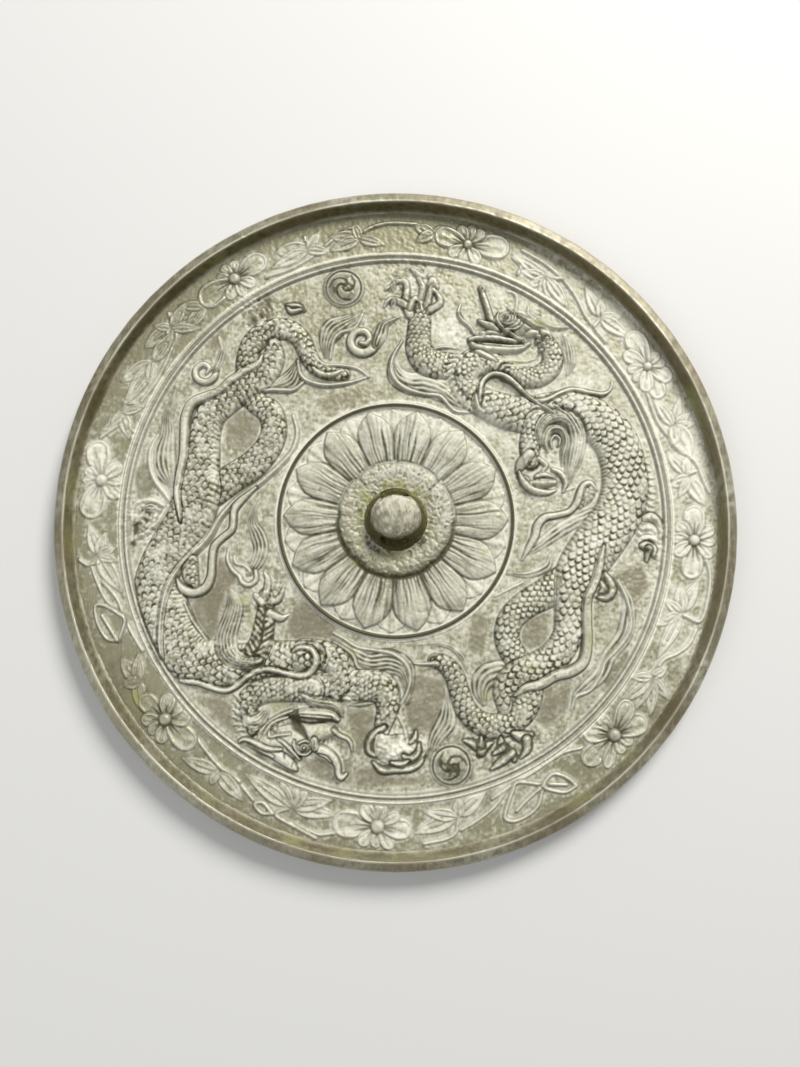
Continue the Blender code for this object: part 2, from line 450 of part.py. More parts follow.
def add_hole(bm):
    """Cutter for the cord hole: a rounded slot along Y through the knob, wholly over the pod."""
    centre_z = PLATE_THICKNESS + POD_HEIGHT + 0.3 + HOLE_HEIGHT / 2
    outline = []
    for quarter, (sx, sz) in enumerate(((1, 1), (-1, 1), (-1, -1), (1, -1))):
        for index in range(3):
            angle = math.radians(90.0 * quarter + 45.0 * index)
            outline.append((
                HOLE_SHIFT + sx * (HOLE_WIDTH / 2 - HOLE_CORNER) + HOLE_CORNER * math.cos(angle),
                centre_z + sz * (HOLE_HEIGHT / 2 - HOLE_CORNER) + HOLE_CORNER * math.sin(angle),
            ))
    front = [bm.verts.new((x, -KNOB_RADIUS - 4.0, z)) for x, z in outline]
    face = bm.faces.new(front)
    made = bmesh.ops.extrude_face_region(bm, geom=[face])
    moved = [item for item in made["geom"] if isinstance(item, bmesh.types.BMVert)]
    bmesh.ops.translate(bm, vec=(0.0, 2 * KNOB_RADIUS + 8.0, 0.0), verts=moved)
    bmesh.ops.recalc_face_normals(bm, faces=bm.faces)


def combine(obj, collection, operation):
    """Boolean of the object with all the solids of a collection, which may overlap each other."""
    modifier = obj.modifiers.new(collection.name, "BOOLEAN")
    modifier.operation = operation
    modifier.solver = "EXACT"
    modifier.use_self = operation == "UNION"
    modifier.operand_type = "COLLECTION"
    modifier.collection = collection


def oriented(maker):
    """The maker's solids with every face turned outwards, each bent face cut into triangles, and
    the shading smooth over all but the sharper edges."""
    def wrapped(bm):
        maker(bm)
        bmesh.ops.recalc_face_normals(bm, faces=bm.faces)
        for face in bm.faces:
            face.smooth = True
        for edge in bm.edges:
            edge.smooth = edge.calc_face_angle(0.0) < SHARP_ANGLE
        bent = [face for face in bm.faces if len(face.verts) == 4]
        bmesh.ops.triangulate(bm, faces=bent)
    return wrapped


def main():
    clear_scene()
    mirror = new_object("mirror", oriented(add_plate))
    mirror.data.materials.append(bronze())

    def pearls(bm):
        add_pearl(bm, Vector((-17.8, 78.6, 0.0)))
        add_pearl(bm, Vector((17.6, -78.4, 0.0)))

    def flowers(bm):
        for angle, radius in FLOWERS:
            add_flower(bm, angle, radius)

    def bosses(bm):
        for angle, radius in FLOWERS:
            add_boss(bm, angle, radius)

    def foliage(bm):
        for angle, radius, tips in SPRAYS:
            add_spray(bm, angle, radius, tips)

    def stems(bm):
        for run in STEMS:
            add_stem(bm, run)

    def bodies(bm):
        add_strokes(bm, EAST_BODY, STROKE_STEP, LIMB_SECTION)
        add_strokes(bm, turned(WEST_BODY), STROKE_STEP, LIMB_SECTION)

    def trims(bm):
        add_strokes(bm, EAST_TRIM, TRIM_STEP, BLADE_SECTION)
        add_strokes(bm, turned(WEST_TRIM), TRIM_STEP, BLADE_SECTION)

    groups = (
        ("rings", add_rings), ("pod", add_pod), ("knob", add_knob), ("lotus_petals", add_petals),
        ("pearls", pearls), ("flowers", flowers), ("flower_bosses", bosses), ("stems", stems),
        ("leaves", foliage), ("dragon_bodies", bodies), ("dragon_trims", trims),
    )
    relief = bpy.data.collections.new("relief")
    bpy.context.scene.collection.children.link(relief)
    for name, maker in groups:
        new_object(name, oriented(maker), relief)
    cutters = bpy.data.collections.new("cutters")
    bpy.context.scene.collection.children.link(cutters)
    new_object("cord_hole", add_hole, cutters)
    combine(mirror, relief, "UNION")
    combine(mirror, cutters, "DIFFERENCE")


main()
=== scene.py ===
import math

import bmesh
import bpy
import numpy as np
from mathutils import Matrix, Vector


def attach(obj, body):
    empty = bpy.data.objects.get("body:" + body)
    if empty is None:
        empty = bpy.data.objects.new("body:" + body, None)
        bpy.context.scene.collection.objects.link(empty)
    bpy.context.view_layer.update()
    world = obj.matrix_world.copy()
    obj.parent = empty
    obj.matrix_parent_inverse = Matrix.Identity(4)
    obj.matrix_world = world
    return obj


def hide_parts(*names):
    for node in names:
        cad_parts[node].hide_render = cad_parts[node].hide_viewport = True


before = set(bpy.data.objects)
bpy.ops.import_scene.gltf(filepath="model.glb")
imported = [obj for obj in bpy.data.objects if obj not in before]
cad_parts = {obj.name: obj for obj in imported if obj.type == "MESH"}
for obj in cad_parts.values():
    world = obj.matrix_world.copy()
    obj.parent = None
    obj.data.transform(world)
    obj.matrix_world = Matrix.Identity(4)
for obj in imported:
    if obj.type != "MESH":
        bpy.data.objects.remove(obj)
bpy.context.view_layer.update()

mm = 0.001
fieldHeight = 3.0  # the plate's upper face, over the reflecting face

print("laying out the relief")

# The relief is modelled on a fine square sheet of heights over the field, in millimetres.
sheetSpec = {"reach": 111.0, "cell": 0.125}
sheetCells = int(round(2 * sheetSpec["reach"] / sheetSpec["cell"])) + 1
sheetAxis = np.linspace(-sheetSpec["reach"], sheetSpec["reach"], sheetCells).astype(np.float32)
height = np.zeros((sheetCells, sheetCells), np.float32)
scaled = np.zeros_like(height)  # where scales, plates or strands cover the form
# the dark lines are dirt in the creases together with painted shade
creased = np.zeros_like(height)  # dark lines: round each stroke and between its scales


def cellOf(value):
    return int(np.clip((value + sheetSpec["reach"]) / sheetSpec["cell"], 0, sheetCells - 1))


def windowOf(x0, x1, y0, y1):
    return slice(cellOf(y0), cellOf(y1) + 2), slice(cellOf(x0), cellOf(x1) + 2)


def smoothRun(points, step):
    # an even curve through given points of x, y, half width and rise
    rows = np.array(points, float)
    rows = np.vstack([2 * rows[0] - rows[1], rows, 2 * rows[-1] - rows[-2]])
    run = []
    for a, b, c, d in zip(rows, rows[1:], rows[2:], rows[3:]):
        count = max(1, int(round(np.hypot(*(c - b)[:2]) / step)))
        t = np.linspace(0, 1, count, endpoint=False)[:, None]
        run.append(0.5 * (2 * b + (c - a) * t + (2 * a - 5 * b + 4 * c - d) * t ** 2
                          + (3 * b - a - 3 * c + d) * t ** 3))
    run.append(rows[-2:-1])
    run = np.vstack(run)
    run[:, 2] = np.maximum(run[:, 2], 0.06)
    return run


def measureRun(run, margin):
    # for each cell near the run: distance past its edge, run length, signed side, half width, rise
    reach = run[:, 2].max() + margin
    window = windowOf(run[:, 0].min() - reach, run[:, 0].max() + reach,
                      run[:, 1].min() - reach, run[:, 1].max() + reach)
    xs, ys = sheetAxis[window[1]], sheetAxis[window[0]]
    shape = (len(ys), len(xs))
    gap, nearest = np.full(shape, 99.0, np.float32), np.full(shape, 99.0, np.float32)
    along, side, half, rise = (np.zeros(shape, np.float32) for _ in range(4))
    walked = 0.0
    for p, q in zip(run, run[1:]):
        dx, dy = q[0] - p[0], q[1] - p[1]
        length = math.hypot(dx, dy)
        if length < 1e-6:
            continue
        near = max(p[2], q[2]) + margin
        i0, i1 = np.searchsorted(ys, [min(p[1], q[1]) - near, max(p[1], q[1]) + near])
        j0, j1 = np.searchsorted(xs, [min(p[0], q[0]) - near, max(p[0], q[0]) + near])
        rx = xs[None, j0:j1] - p[0]
        ry = ys[i0:i1, None] - p[1]
        t = np.clip((rx * dx + ry * dy) / length ** 2, 0, 1)
        off = np.hypot(rx - t * dx, ry - t * dy)
        wide = p[2] + (q[2] - p[2]) * t
        past = off - wide
        gap[i0:i1, j0:j1] = np.minimum(gap[i0:i1, j0:j1], past)
        best = nearest[i0:i1, j0:j1]
        closer = off < best
        best[closer] = off[closer]
        along[i0:i1, j0:j1][closer] = (walked + t * length)[closer]
        side[i0:i1, j0:j1][closer] = (np.sign(dx * ry - dy * rx) * off)[closer]
        half[i0:i1, j0:j1][closer] = wide[closer]
        rise[i0:i1, j0:j1][closer] = (p[3] + (q[3] - p[3]) * t)[closer]
        walked += length
    return window, gap, along, side, np.maximum(half, 0.05), rise


def softened(values, reach):
    # three passes of a running mean, close to a Gaussian of that reach in millimetres
    wide = int(round(math.sqrt(4 * (reach / sheetSpec["cell"]) ** 2 + 1))) // 2 * 2 + 1
    for _ in range(3):
        for axis in (0, 1):
            pad = [(0, 0), (0, 0)]
            pad[axis] = (wide // 2 + 1, wide // 2)
            total = np.cumsum(np.pad(values, pad, mode="edge"), axis=axis, dtype=np.float64)
            count = total.shape[axis]
            values = (np.take(total, range(wide, count), axis) - np.take(total, range(count - wide), axis)) / wide
    return values.astype(np.float32)


def grain(reach, seed):
    noise = softened(np.random.default_rng(seed).standard_normal(height.shape).astype(np.float32), reach)
    return noise / noise.std()


# The unevenness of handwork: how far a dress strays along and across its stroke, and in depth and line.
handwork = {"reach": 0.8, "seeds": (11, 13, 17), "along": 0.17, "side": 0.13, "depth": 0.25, "line": 0.4, "calm": 0.3}
wobble = [grain(handwork["reach"], seed) for seed in handwork["seeds"]]

# Each form gives a stroke's height from 0 at its middle line to 1 at its edge.
forms = {
    "round": lambda t: np.maximum(0, 1 - t ** 2.6) ** 0.55,
    "soft": lambda t: np.maximum(0, 1 - t * t),
    "keel": lambda t: np.maximum(0, 1 - t) ** 0.8,
    "flat": lambda t: np.clip((1 - t) / 0.3, 0, 1) ** 0.6,
    "leaf": lambda t: (0.42 + 0.6 * np.exp(-((t - 0.8) / 0.15) ** 2) + 0.35 * np.exp(-(t / 0.16) ** 2))
    * np.clip((1 - t) / 0.12, 0, 1) ** 0.5,
}


scaleSpec = {"lap": 0.3, "reach": 0.95, "crown": 0.3, "middle": 0.6, "line": 0.28, "lineDepth": 0.35}


# A dress gives the height it adds along a stroke, and how dark its lines are.
def scales(pitch, wide, depth):
    # overlapping scales: each row nearer the head lies on the next
    def dress(along, side, half):
        u = along / pitch
        value, past = np.zeros_like(u), np.full(u.shape, 9.0, np.float32)
        taken = np.zeros(u.shape, bool)
        for k in (np.floor(u) - 1, np.floor(u), np.floor(u) + 1):
            place = side / wide + 0.5 * np.mod(k, 2)
            dx = 2 * (place - np.round(place))
            reach = scaleSpec["lap"] + scaleSpec["reach"] * np.sqrt(np.maximum(0, 1 - dx * dx))
            hit = ~taken & (u - k < reach)
            tilt = np.clip((u - k) / reach, -0.3, 1)
            value[hit] = (depth * (tilt - scaleSpec["middle"] - scaleSpec["crown"] * dx * dx))[hit]
            taken |= hit
            past = np.where(taken, past, np.minimum(past, (u - k - reach) * pitch))
        lines = np.clip(1.35 - past / (scaleSpec["line"] * pitch), 0, 1)
        return value - scaleSpec["lineDepth"] * depth * lines, lines
    return dress


def plates(pitch, depth, bend=0.3):
    def dress(along, side, half):
        share = np.abs(np.cos(np.pi * (along / pitch + bend * (side / half) ** 2))) ** 5
        return -depth * share, 0.5 * share
    return dress


def strands(count, depth):
    def dress(along, side, half):
        share = np.abs(np.cos(np.pi * count * 0.5 * (side / half + 1))) ** 4
        return -depth * share, 0.62 * share * (half > 0.45)
    return dress


def herringbone(pitch, depth):
    def dress(along, side, half):
        share = np.abs(np.cos(np.pi * (along / pitch - 1.1 * np.abs(side / half)))) ** 4
        share = np.maximum(share, np.exp(-(side / 0.35) ** 2))
        return -depth * share, share
    return dress


def banded(edge, inner, outer):
    # one covering on the belly side of the run, another on the back
    def dress(along, side, half):
        back = side / half > edge
        (a, b), (c, d) = outer(along, side, half), inner(along, side, half)
        return np.where(back, a, c), np.where(back, b, d)
    return dress


def pressed(under, gap, moat, deep):
    # what stands beside a new form is pressed down round it
    return np.where(under > 0.15, under * (1 - deep * np.clip(1 - gap / moat, 0, 1)), under)


def lay(points, form="round", dress=None, lift=0.3, moat=0.45, deep=0.55, turn=1, mark=0.0, crease=0.8):
    # one raised stroke over what is there, with a narrow sunk line round it
    run = smoothRun(points, 0.7)
    run[:, :2] *= turn
    window, gap, along, side, half, rise = measureRun(run, moat + 0.15)
    t = np.clip(1 + gap / half, 0, 1)
    body = rise * forms[form](t)
    inside = gap < 0
    lines = np.zeros_like(body)
    if dress:
        loose = 1.0 if mark else handwork["calm"]
        cover, lines = dress(along + handwork["along"] * loose * wobble[0][window],
                             side + handwork["side"] * loose * wobble[1][window], half)
        cover = cover * (1 + handwork["depth"] * wobble[2][window])
        lines = lines * np.clip(1 + handwork["line"] * wobble[2][window], 0.2, 1.4)
        body = body + cover * np.clip(1.6 * (1 - t), 0, 1) ** 0.4
    under = height[window]
    height[window] = np.where(inside, np.maximum(under, 0) * lift + np.maximum(body, 0.04),
                              pressed(under, gap, moat, deep))
    edge = crease * np.clip(rise / 1.4, 0.35, 1) * np.clip(1.6 * np.clip(1 - gap / moat, 0, 1), 0, 1)
    creased[window] = np.where(inside, np.maximum(lines, 0.25 * creased[window] * lift),
                               np.maximum(creased[window], edge))
    if mark:
        scaled[window] = np.where(inside, mark, scaled[window])


def fringe(points, side, pitch, length, wide, rise, lean=0.5, turn=1):
    # a row of pointed tufts that stand out from one side of a run
    run = smoothRun([(*p[:2], 1.0, 1.0) for p in points], 0.25)
    steps = np.hypot(*np.diff(run[:, :2], axis=0).T)
    walked = np.concatenate([[0], np.cumsum(steps)])
    for place in np.arange(0.5 * pitch, walked[-1], pitch):
        index = min(int(np.searchsorted(walked, place)), len(run) - 2)
        heading = run[index + 1, :2] - run[index, :2]
        heading /= np.hypot(*heading) + 1e-9
        out = side * np.array([-heading[1], heading[0]])
        foot = run[index, :2] - out * 0.4
        tip = foot + (out + heading * lean) * length
        knee = foot * 0.5 + tip * 0.5 + heading * 0.15 * length
        lay([(*foot, wide, rise), (*knee, wide * 0.75, rise * 0.9), (*tip, wide * 0.15, rise * 0.5)],
            form="keel", turn=turn, moat=0.3)


def dome(x, y, wide, tall, rise, angle=0.0, form="soft", lift=0.3, moat=0.4, deep=0.6, turn=1, crease=0.8):
    # one raised oval
    x, y = x * turn, y * turn
    reach = max(wide, tall) + moat + 0.2
    window = windowOf(x - reach, x + reach, y - reach, y + reach)
    px, py = sheetAxis[window[1]][None, :] - x, sheetAxis[window[0]][:, None] - y
    c, s = math.cos(math.radians(angle)), math.sin(math.radians(angle))
    t = np.hypot((px * c + py * s) / wide, (py * c - px * s) / tall)
    gap = (t - 1) * min(wide, tall)
    under = height[window]
    body = np.maximum(rise * forms[form](np.clip(t, 0, 1)), 0.04)
    height[window] = np.where(t < 1, np.maximum(under, 0) * lift + body, pressed(under, gap, moat, deep))
    edge = crease * min(1, rise / 1.2) * np.clip(1.4 - 1.4 * gap / moat, 0, 1)
    creased[window] = np.where(t < 1, 0.2 * creased[window] * lift, np.maximum(creased[window], edge))


def carve(points, depth, turn=1, crease=0.8):
    # a sunk line; the third number is its half width
    run = smoothRun([(*p[:3], 1.0) for p in points], 0.7)
    run[:, :2] *= turn
    window, gap, _, _, half, _ = measureRun(run, 0.1)
    share = np.clip(-gap / half, 0, 1) ** 0.6
    height[window] -= depth * share
    creased[window] = np.maximum(creased[window], crease * share)


def around(places):
    # from degrees and millimetres round the centre to x and y
    return [(r * math.cos(math.radians(a)), r * math.sin(math.radians(a)), *rest) for a, r, *rest in places]


wearMark = {1: 0.5, -1: 1.0}  # how worn the scales are, on the eastern dragon and on the western
strokes = {
    "tail": {"dress": scales(1.75, 2.0, 0.55)},
    "fine": {"dress": scales(1.5, 1.7, 0.45)},
    "neck": {"dress": banded(0.62, scales(1.7, 1.9, 0.5), plates(1.4, 0.4))},
    "bent": {"dress": herringbone(2.1, 0.5)},
    "bare": {"deep": 0.75},
    "line": {"form": "keel", "moat": 0.4},
    "band": {"moat": 0.5, "deep": 0.8, "lift": 0.25, "dress": strands(1, 0.3), "crease": 0.7},
    "tube": {"moat": 0.5, "deep": 0.8, "lift": 0.25, "crease": 0.95},
    "talon": {"form": "soft", "moat": 0.75, "deep": 0.85, "lift": 0.15, "crease": 1.2},
    "mass": {"form": "soft", "moat": 0.4, "deep": 0.7, "lift": 0.2},
    "curl": {"moat": 0.4, "deep": 0.7, "lift": 0.15, "crease": 0.9},
    "claw": {"moat": 0.45, "deep": 0.8, "lift": 0.15},
}
for count, depth in ((2, 0.4), (3, 0.45), (4, 0.45), (5, 0.45), (6, 0.45)):
    strokes[f"hair{count}"] = {"form": "soft", "dress": strands(count, depth), "moat": 0.3}
scaledKinds = ("tail", "fine", "neck", "bent")


def draw(lines, turn):
    for kind, points in lines:
        clad = {"mark": wearMark[turn], "deep": 0.75} if kind in scaledKinds else {}
        lay(points, turn=turn, **strokes[kind], **clad)


# The eastern dragon, from what lies lowest to what lies on top; the head is towards +Y.
eastUnder = [
    ("hair5", [(0, 57, 1, .5), (-.8, 52, 2, .8), (.5, 48, 3.2, 1), (4.5, 45.6, 3.8, 1.1), (10, 45.2, 4.2, 1.1),
        (15.5, 43, 3.8, 1.1), (20, 39.5, 2.6, .9), (25.5, 35.8, .4, .5)]),
    ("line", [(2, 60, .35, 1.3), (-1, 54.5, .6, 1.3), (-1.7, 50, .8, 1.3), (0, 46.3, .8, 1.3), (3.5, 43.6, .7, 1.3),
        (9, 41.9, .6, 1.3), (14.5, 41.1, .6, 1.3), (17.5, 38, .6, 1.2), (20, 36, .6, 1.1), (25, 35.6, .3, .8)]),
    ("hair3", [(71, -19, .5, .6), (74.5, -25, 1.6, 1), (75, -31, 2.4, 1.1), (73.2, -38, 2.6, 1.1),
        (68.5, -44, 2.4, 1), (65.5, -50, 2.4, 1), (61, -54, 2, .9), (57.5, -57, 1.2, .8), (56.4, -61.5, .4, .5)]),
    ("line", [(72, -20, .4, 1.1), (74.5, -26, .6, 1.4), (75.6, -32, .6, 1.4), (74.8, -37, .6, 1.4),
        (71, -42, .6, 1.3), (67, -46, .6, 1.3), (65.5, -50, .6, 1.3), (62, -55, .6, 1.2), (57.5, -57, .6, 1.1),
        (56, -61, .3, .8)]),
    ("hair4", [(38, -48.5, 1.5, 1), (33, -49, 3.5, 1.3), (28.5, -51, 3.6, 1.3), (27, -55, 2.5, 1.1),
        (28, -59, 1, .7)]),
    ("hair4", [(16, -54.5, .5, .5), (16.5, -60, 1.8, .9), (16, -65, 3, 1), (12.8, -70, 2.2, .9),
        (10.6, -76, .4, .5)]),
    ("hair2", [(7, -40.4, .3, .4), (13, -40.2, .7, .6), (18, -41.5, .9, .7), (21.5, -45, .9, .7),
        (23, -49, .4, .5)]),
    ("hair3", [(41, -12, .3, .4), (46, -9, 1.5, .7), (52, -4.5, 2.2, .9), (57, -1.5, 2.2, .9), (63, 1.5, 1.8, .9),
        (69, 4.5, 1.2, .8)]),
    ("fine", [(60, 4.6, 1, .9), (62.4, 8, 2.4, 1.3), (64.6, 11.4, 1, .9)]),
    ("hair2", [(36, -17.5, .4, .4), (43, -18, 1.2, .7), (49, -15.5, 1.4, .7), (50, -12, .6, .5)]),
    ("line", [(32, -25, .4, .7), (38, -22, .5, .8), (41, -20.5, .3, .6)]),
]
eastLegs = [
    ("fine", [(22, 51, 4.2, 2), (16, 51.6, 4.6, 2.2), (10.5, 53, 4.8, 2.4), (7.8, 57, 4.4, 2.3),
        (7.6, 62, 3.9, 2.2), (8, 67, 3.6, 2.1), (8.2, 70.5, 2.8, 1.9)]),
    ("line", [(13, 57.5, .4, 1.2), (16.5, 57.9, .5, 1.3), (20, 57.5, .3, 1)]),
    ("claw", [(4.5, 69, 1.4, 1.4), (3.2, 73.5, 1.4, 1.5), (3.6, 77.5, 1.1, 1.4), (3, 80.6, 1, 1.2),
        (0, 80.4, .8, 1), (-3.6, 77.8, .3, .7)]),
    ("claw", [(3.5, 72, 1.1, 1.4), (0, 74, 1.2, 1.3), (-2.6, 73.8, .9, 1.1), (-4, 71.8, .3, .7)]),
    ("claw", [(4.6, 71, .9, 1.5), (6, 74.4, 1, 1.5), (8.2, 73.8, .9, 1.5), (8.6, 70.6, .7, 1.4)]),
    ("claw", [(8.4, 75, 1, 1.2), (9, 78.4, 1.1, 1.3), (8, 80.8, .9, 1.2), (6.8, 84.2, .7, 1)]),
    ("claw", [(5.4, 84.8, .6, .9), (7, 83.4, 1.1, 1.1), (9.6, 82.2, .4, .8)]),
    ("claw", [(10.5, 72, 1.2, 1.4), (11.2, 76, 1.1, 1.3), (12.4, 79.5, 1.1, 1.2), (11.4, 82.6, .9, 1)]),
    ("claw", [(11, 79.6, .5, 1), (12.6, 80.8, 1.4, 1.2), (13.6, 78.6, .9, 1.1)]),
    ("claw", [(11.6, 70.6, 1.2, 1.4), (14.6, 72.8, 1.2, 1.4), (14.6, 75, 1, 1.3), (12.6, 78, .5, 1)]),
    ("neck", [(38, 49.4, 3.4, 1.9), (31, 52.3, 4, 2), (25.5, 52.3, 4.8, 2.2), (22.4, 47.5, 4.8, 2.3),
        (24.6, 42, 4.8, 2.3), (30, 38.6, 5, 2.3), (37, 36, 5.6, 2.4)]),
    ("fine", [(49.5, 60.5, 3, 2.2), (52, 56, 3.3, 2.3), (51.5, 51.2, 3.5, 2.3), (47.5, 48, 3.6, 2.2),
        (42, 47.5, 3.4, 2.1), (37, 49, 3.2, 2)]),
    ("line", [(25.5, 58, .4, 1.5), (28, 55.6, .6, 1.6), (33, 53, .4, 1.5)]),
    ("tail", [(55, -19.5, 5, 2.2), (49, -23.8, 4.8, 2.2), (42.5, -27.4, 4.4, 2.2), (37, -32.6, 4.1, 2.2),
        (35.8, -39, 3.9, 2.1), (38.6, -44.8, 3.9, 2), (42, -49.6, 3.9, 1.9), (43, -55, 4, 2), (41.4, -60.4, 4, 2.2),
        (37.4, -64.4, 4, 2.2), (31.6, -66.2, 3.8, 2.2), (26.2, -64.8, 3.6, 2.2), (22.2, -60.6, 3.3, 2.1),
        (20.2, -55, 3.1, 2), (18.6, -50, 3, 1.9), (15.6, -46.6, 2.7, 1.8), (12.6, -45.6, 2.2, 1.7)]),
    ("line", [(13, -46.4, .8, 1.6), (8, -46.6, .5, 1.2), (3, -46, .2, .7)]),
]
eastBody = [
    (30, 38.6, 5, 2.3), (38, 35.6, 5.8, 2.5), (46, 35, 6.4, 2.6), (54, 36, 6.8, 2.7), (61, 35.3, 7, 2.8),
    (67.5, 31.8, 7.2, 2.9), (72.3, 26, 7.3, 2.9), (74.6, 18.5, 7.3, 2.9), (75, 10.5, 7.5, 2.9),
    (72.8, 2.5, 7.6, 2.9), (68.3, -4.6, 7.8, 2.9), (63, -11.5, 7.8, 2.8), (59, -18, 7.2, 2.7),
    (56.8, -24.5, 5.6, 2.5), (56, -31, 4.8, 2.4), (55, -38, 4.6, 2.4), (50.8, -44.2, 4.8, 2.4),
    (44.5, -48, 4.8, 2.3), (38.5, -50.6, 4.6, 2.2), (34.6, -54.6, 3.6, 1.9), (34.5, -60, 2.2, 1.5)
]
eastHind = [
    ("talon", [(21.6, -70.6, .3, .8), (24.4, -71.6, 1.1, 1.5), (27.2, -73.6, 1.5, 1.7), (26.4, -75.4, .5, 1)]),
    ("talon", [(30.6, -71.2, .3, .9), (28.8, -72.2, 1, 1.5), (27, -74.2, 1.2, 1.5)]),
    ("talon", [(27.2, -69.4, .3, .8), (27, -72, 1, 1.4)]),
    ("talon", [(33.4, -69.6, .3, .9), (33.8, -72.8, 1.4, 1.6), (36.8, -75.2, 1.3, 1.5), (37.6, -77, .4, 1)]),
    ("talon", [(37, -74.4, 1, 1.4), (33.8, -77, 1.2, 1.4), (30.2, -79.6, .3, .8)]),
    ("talon", [(34, -73, 1.1, 1.5), (31, -74.8, .4, .9)]),
    ("talon", [(37.4, -68.4, .8, 1.3), (40.4, -69.6, 1.7, 1.7), (43.2, -68.8, .6, 1.1)]),
    ("talon", [(41.6, -70.4, 1.4, 1.6), (41.6, -73.4, 1.1, 1.3), (39.6, -76, .3, .8)]),
    ("mass", [(78.6, -8.8, 1, 1), (81, -7.4, 2.2, 1.6), (83.6, -6.8, 1.6, 1.4)]),
    ("talon", [(80, -8.6, .8, 1.3), (82, -8.8, 1.6, 1.6), (84, -9.8, .9, 1.3), (83.6, -12.2, .3, .8)]),
    ("talon", [(82.2, -9.6, 1.1, 1.3), (81.4, -13.6, .4, .8)]),
    ("talon", [(81.4, .4, 1, 1), (83.6, .8, 1.4, 1.2), (85.8, -1.4, 1, 1.1), (86.2, -6, .4, .8)]),
    ("mass", [(80.4, -3, .8, .9), (83, -3, 1.5, 1.1), (84.6, -4.6, .8, .9)]),
    ("talon", [(67.8, -17.6, .4, .9), (69.4, -20.6, 1.2, 1.4), (69.8, -23.6, 1.3, 1.5), (68, -25.6, 1, 1.3),
        (65.6, -25.4, .4, .9)]),
    ("talon", [(66.4, -20.4, .5, 1), (67.4, -22.6, 1, 1.3), (66, -23.6, .4, .9)]),
]
eastFore = [
    ("fine", [(47, 32, 4.4, 2.2), (45, 27.5, 3.8, 2.2), (44, 23, 3.2, 2.1), (44.6, 19, 2.6, 2)]),
    ("bare", [(44, 21.6, 1.4, 1.7), (41.4, 18.6, 1.8, 1.5), (40, 16, .8, 1.2)]),
    ("claw", [(40.4, 14.2, .8, 1.4), (42.4, 13, 1.4, 1.7), (43.6, 10.6, 1.3, 1.6), (47.8, 9.2, .4, .9)]),
    ("claw", [(46.2, 14, .9, 1.6), (48.4, 14.6, 1.1, 1.6), (52, 13.8, .4, 1)]),
    ("claw", [(47, 20, .8, 1.5), (49.4, 17.8, .8, 1.4), (48, 16, .4, 1)]),
    ("curl", [(40.4, 15.6, .5, 1.2), (41.8, 12, 1.1, 1.7), (45.2, 9.5, 1.3, 1.8), (49.6, 8.8, .9, 1.5),
        (52.2, 9.6, .4, 1)]),
    ("mass", [(44.6, 12, .8, 1.4), (48, 11.9, 1.7, 1.9), (52, 12.2, .9, 1.4)]),
    ("curl", [(51.4, 16.6, .6, 1.3), (54, 15.2, .9, 1.5), (55.6, 12.2, .9, 1.5), (54.8, 9.2, .5, 1.1)]),
    ("line", [(56, 9.6, .4, .8), (58.4, 10.6, .3, .6)]),
]
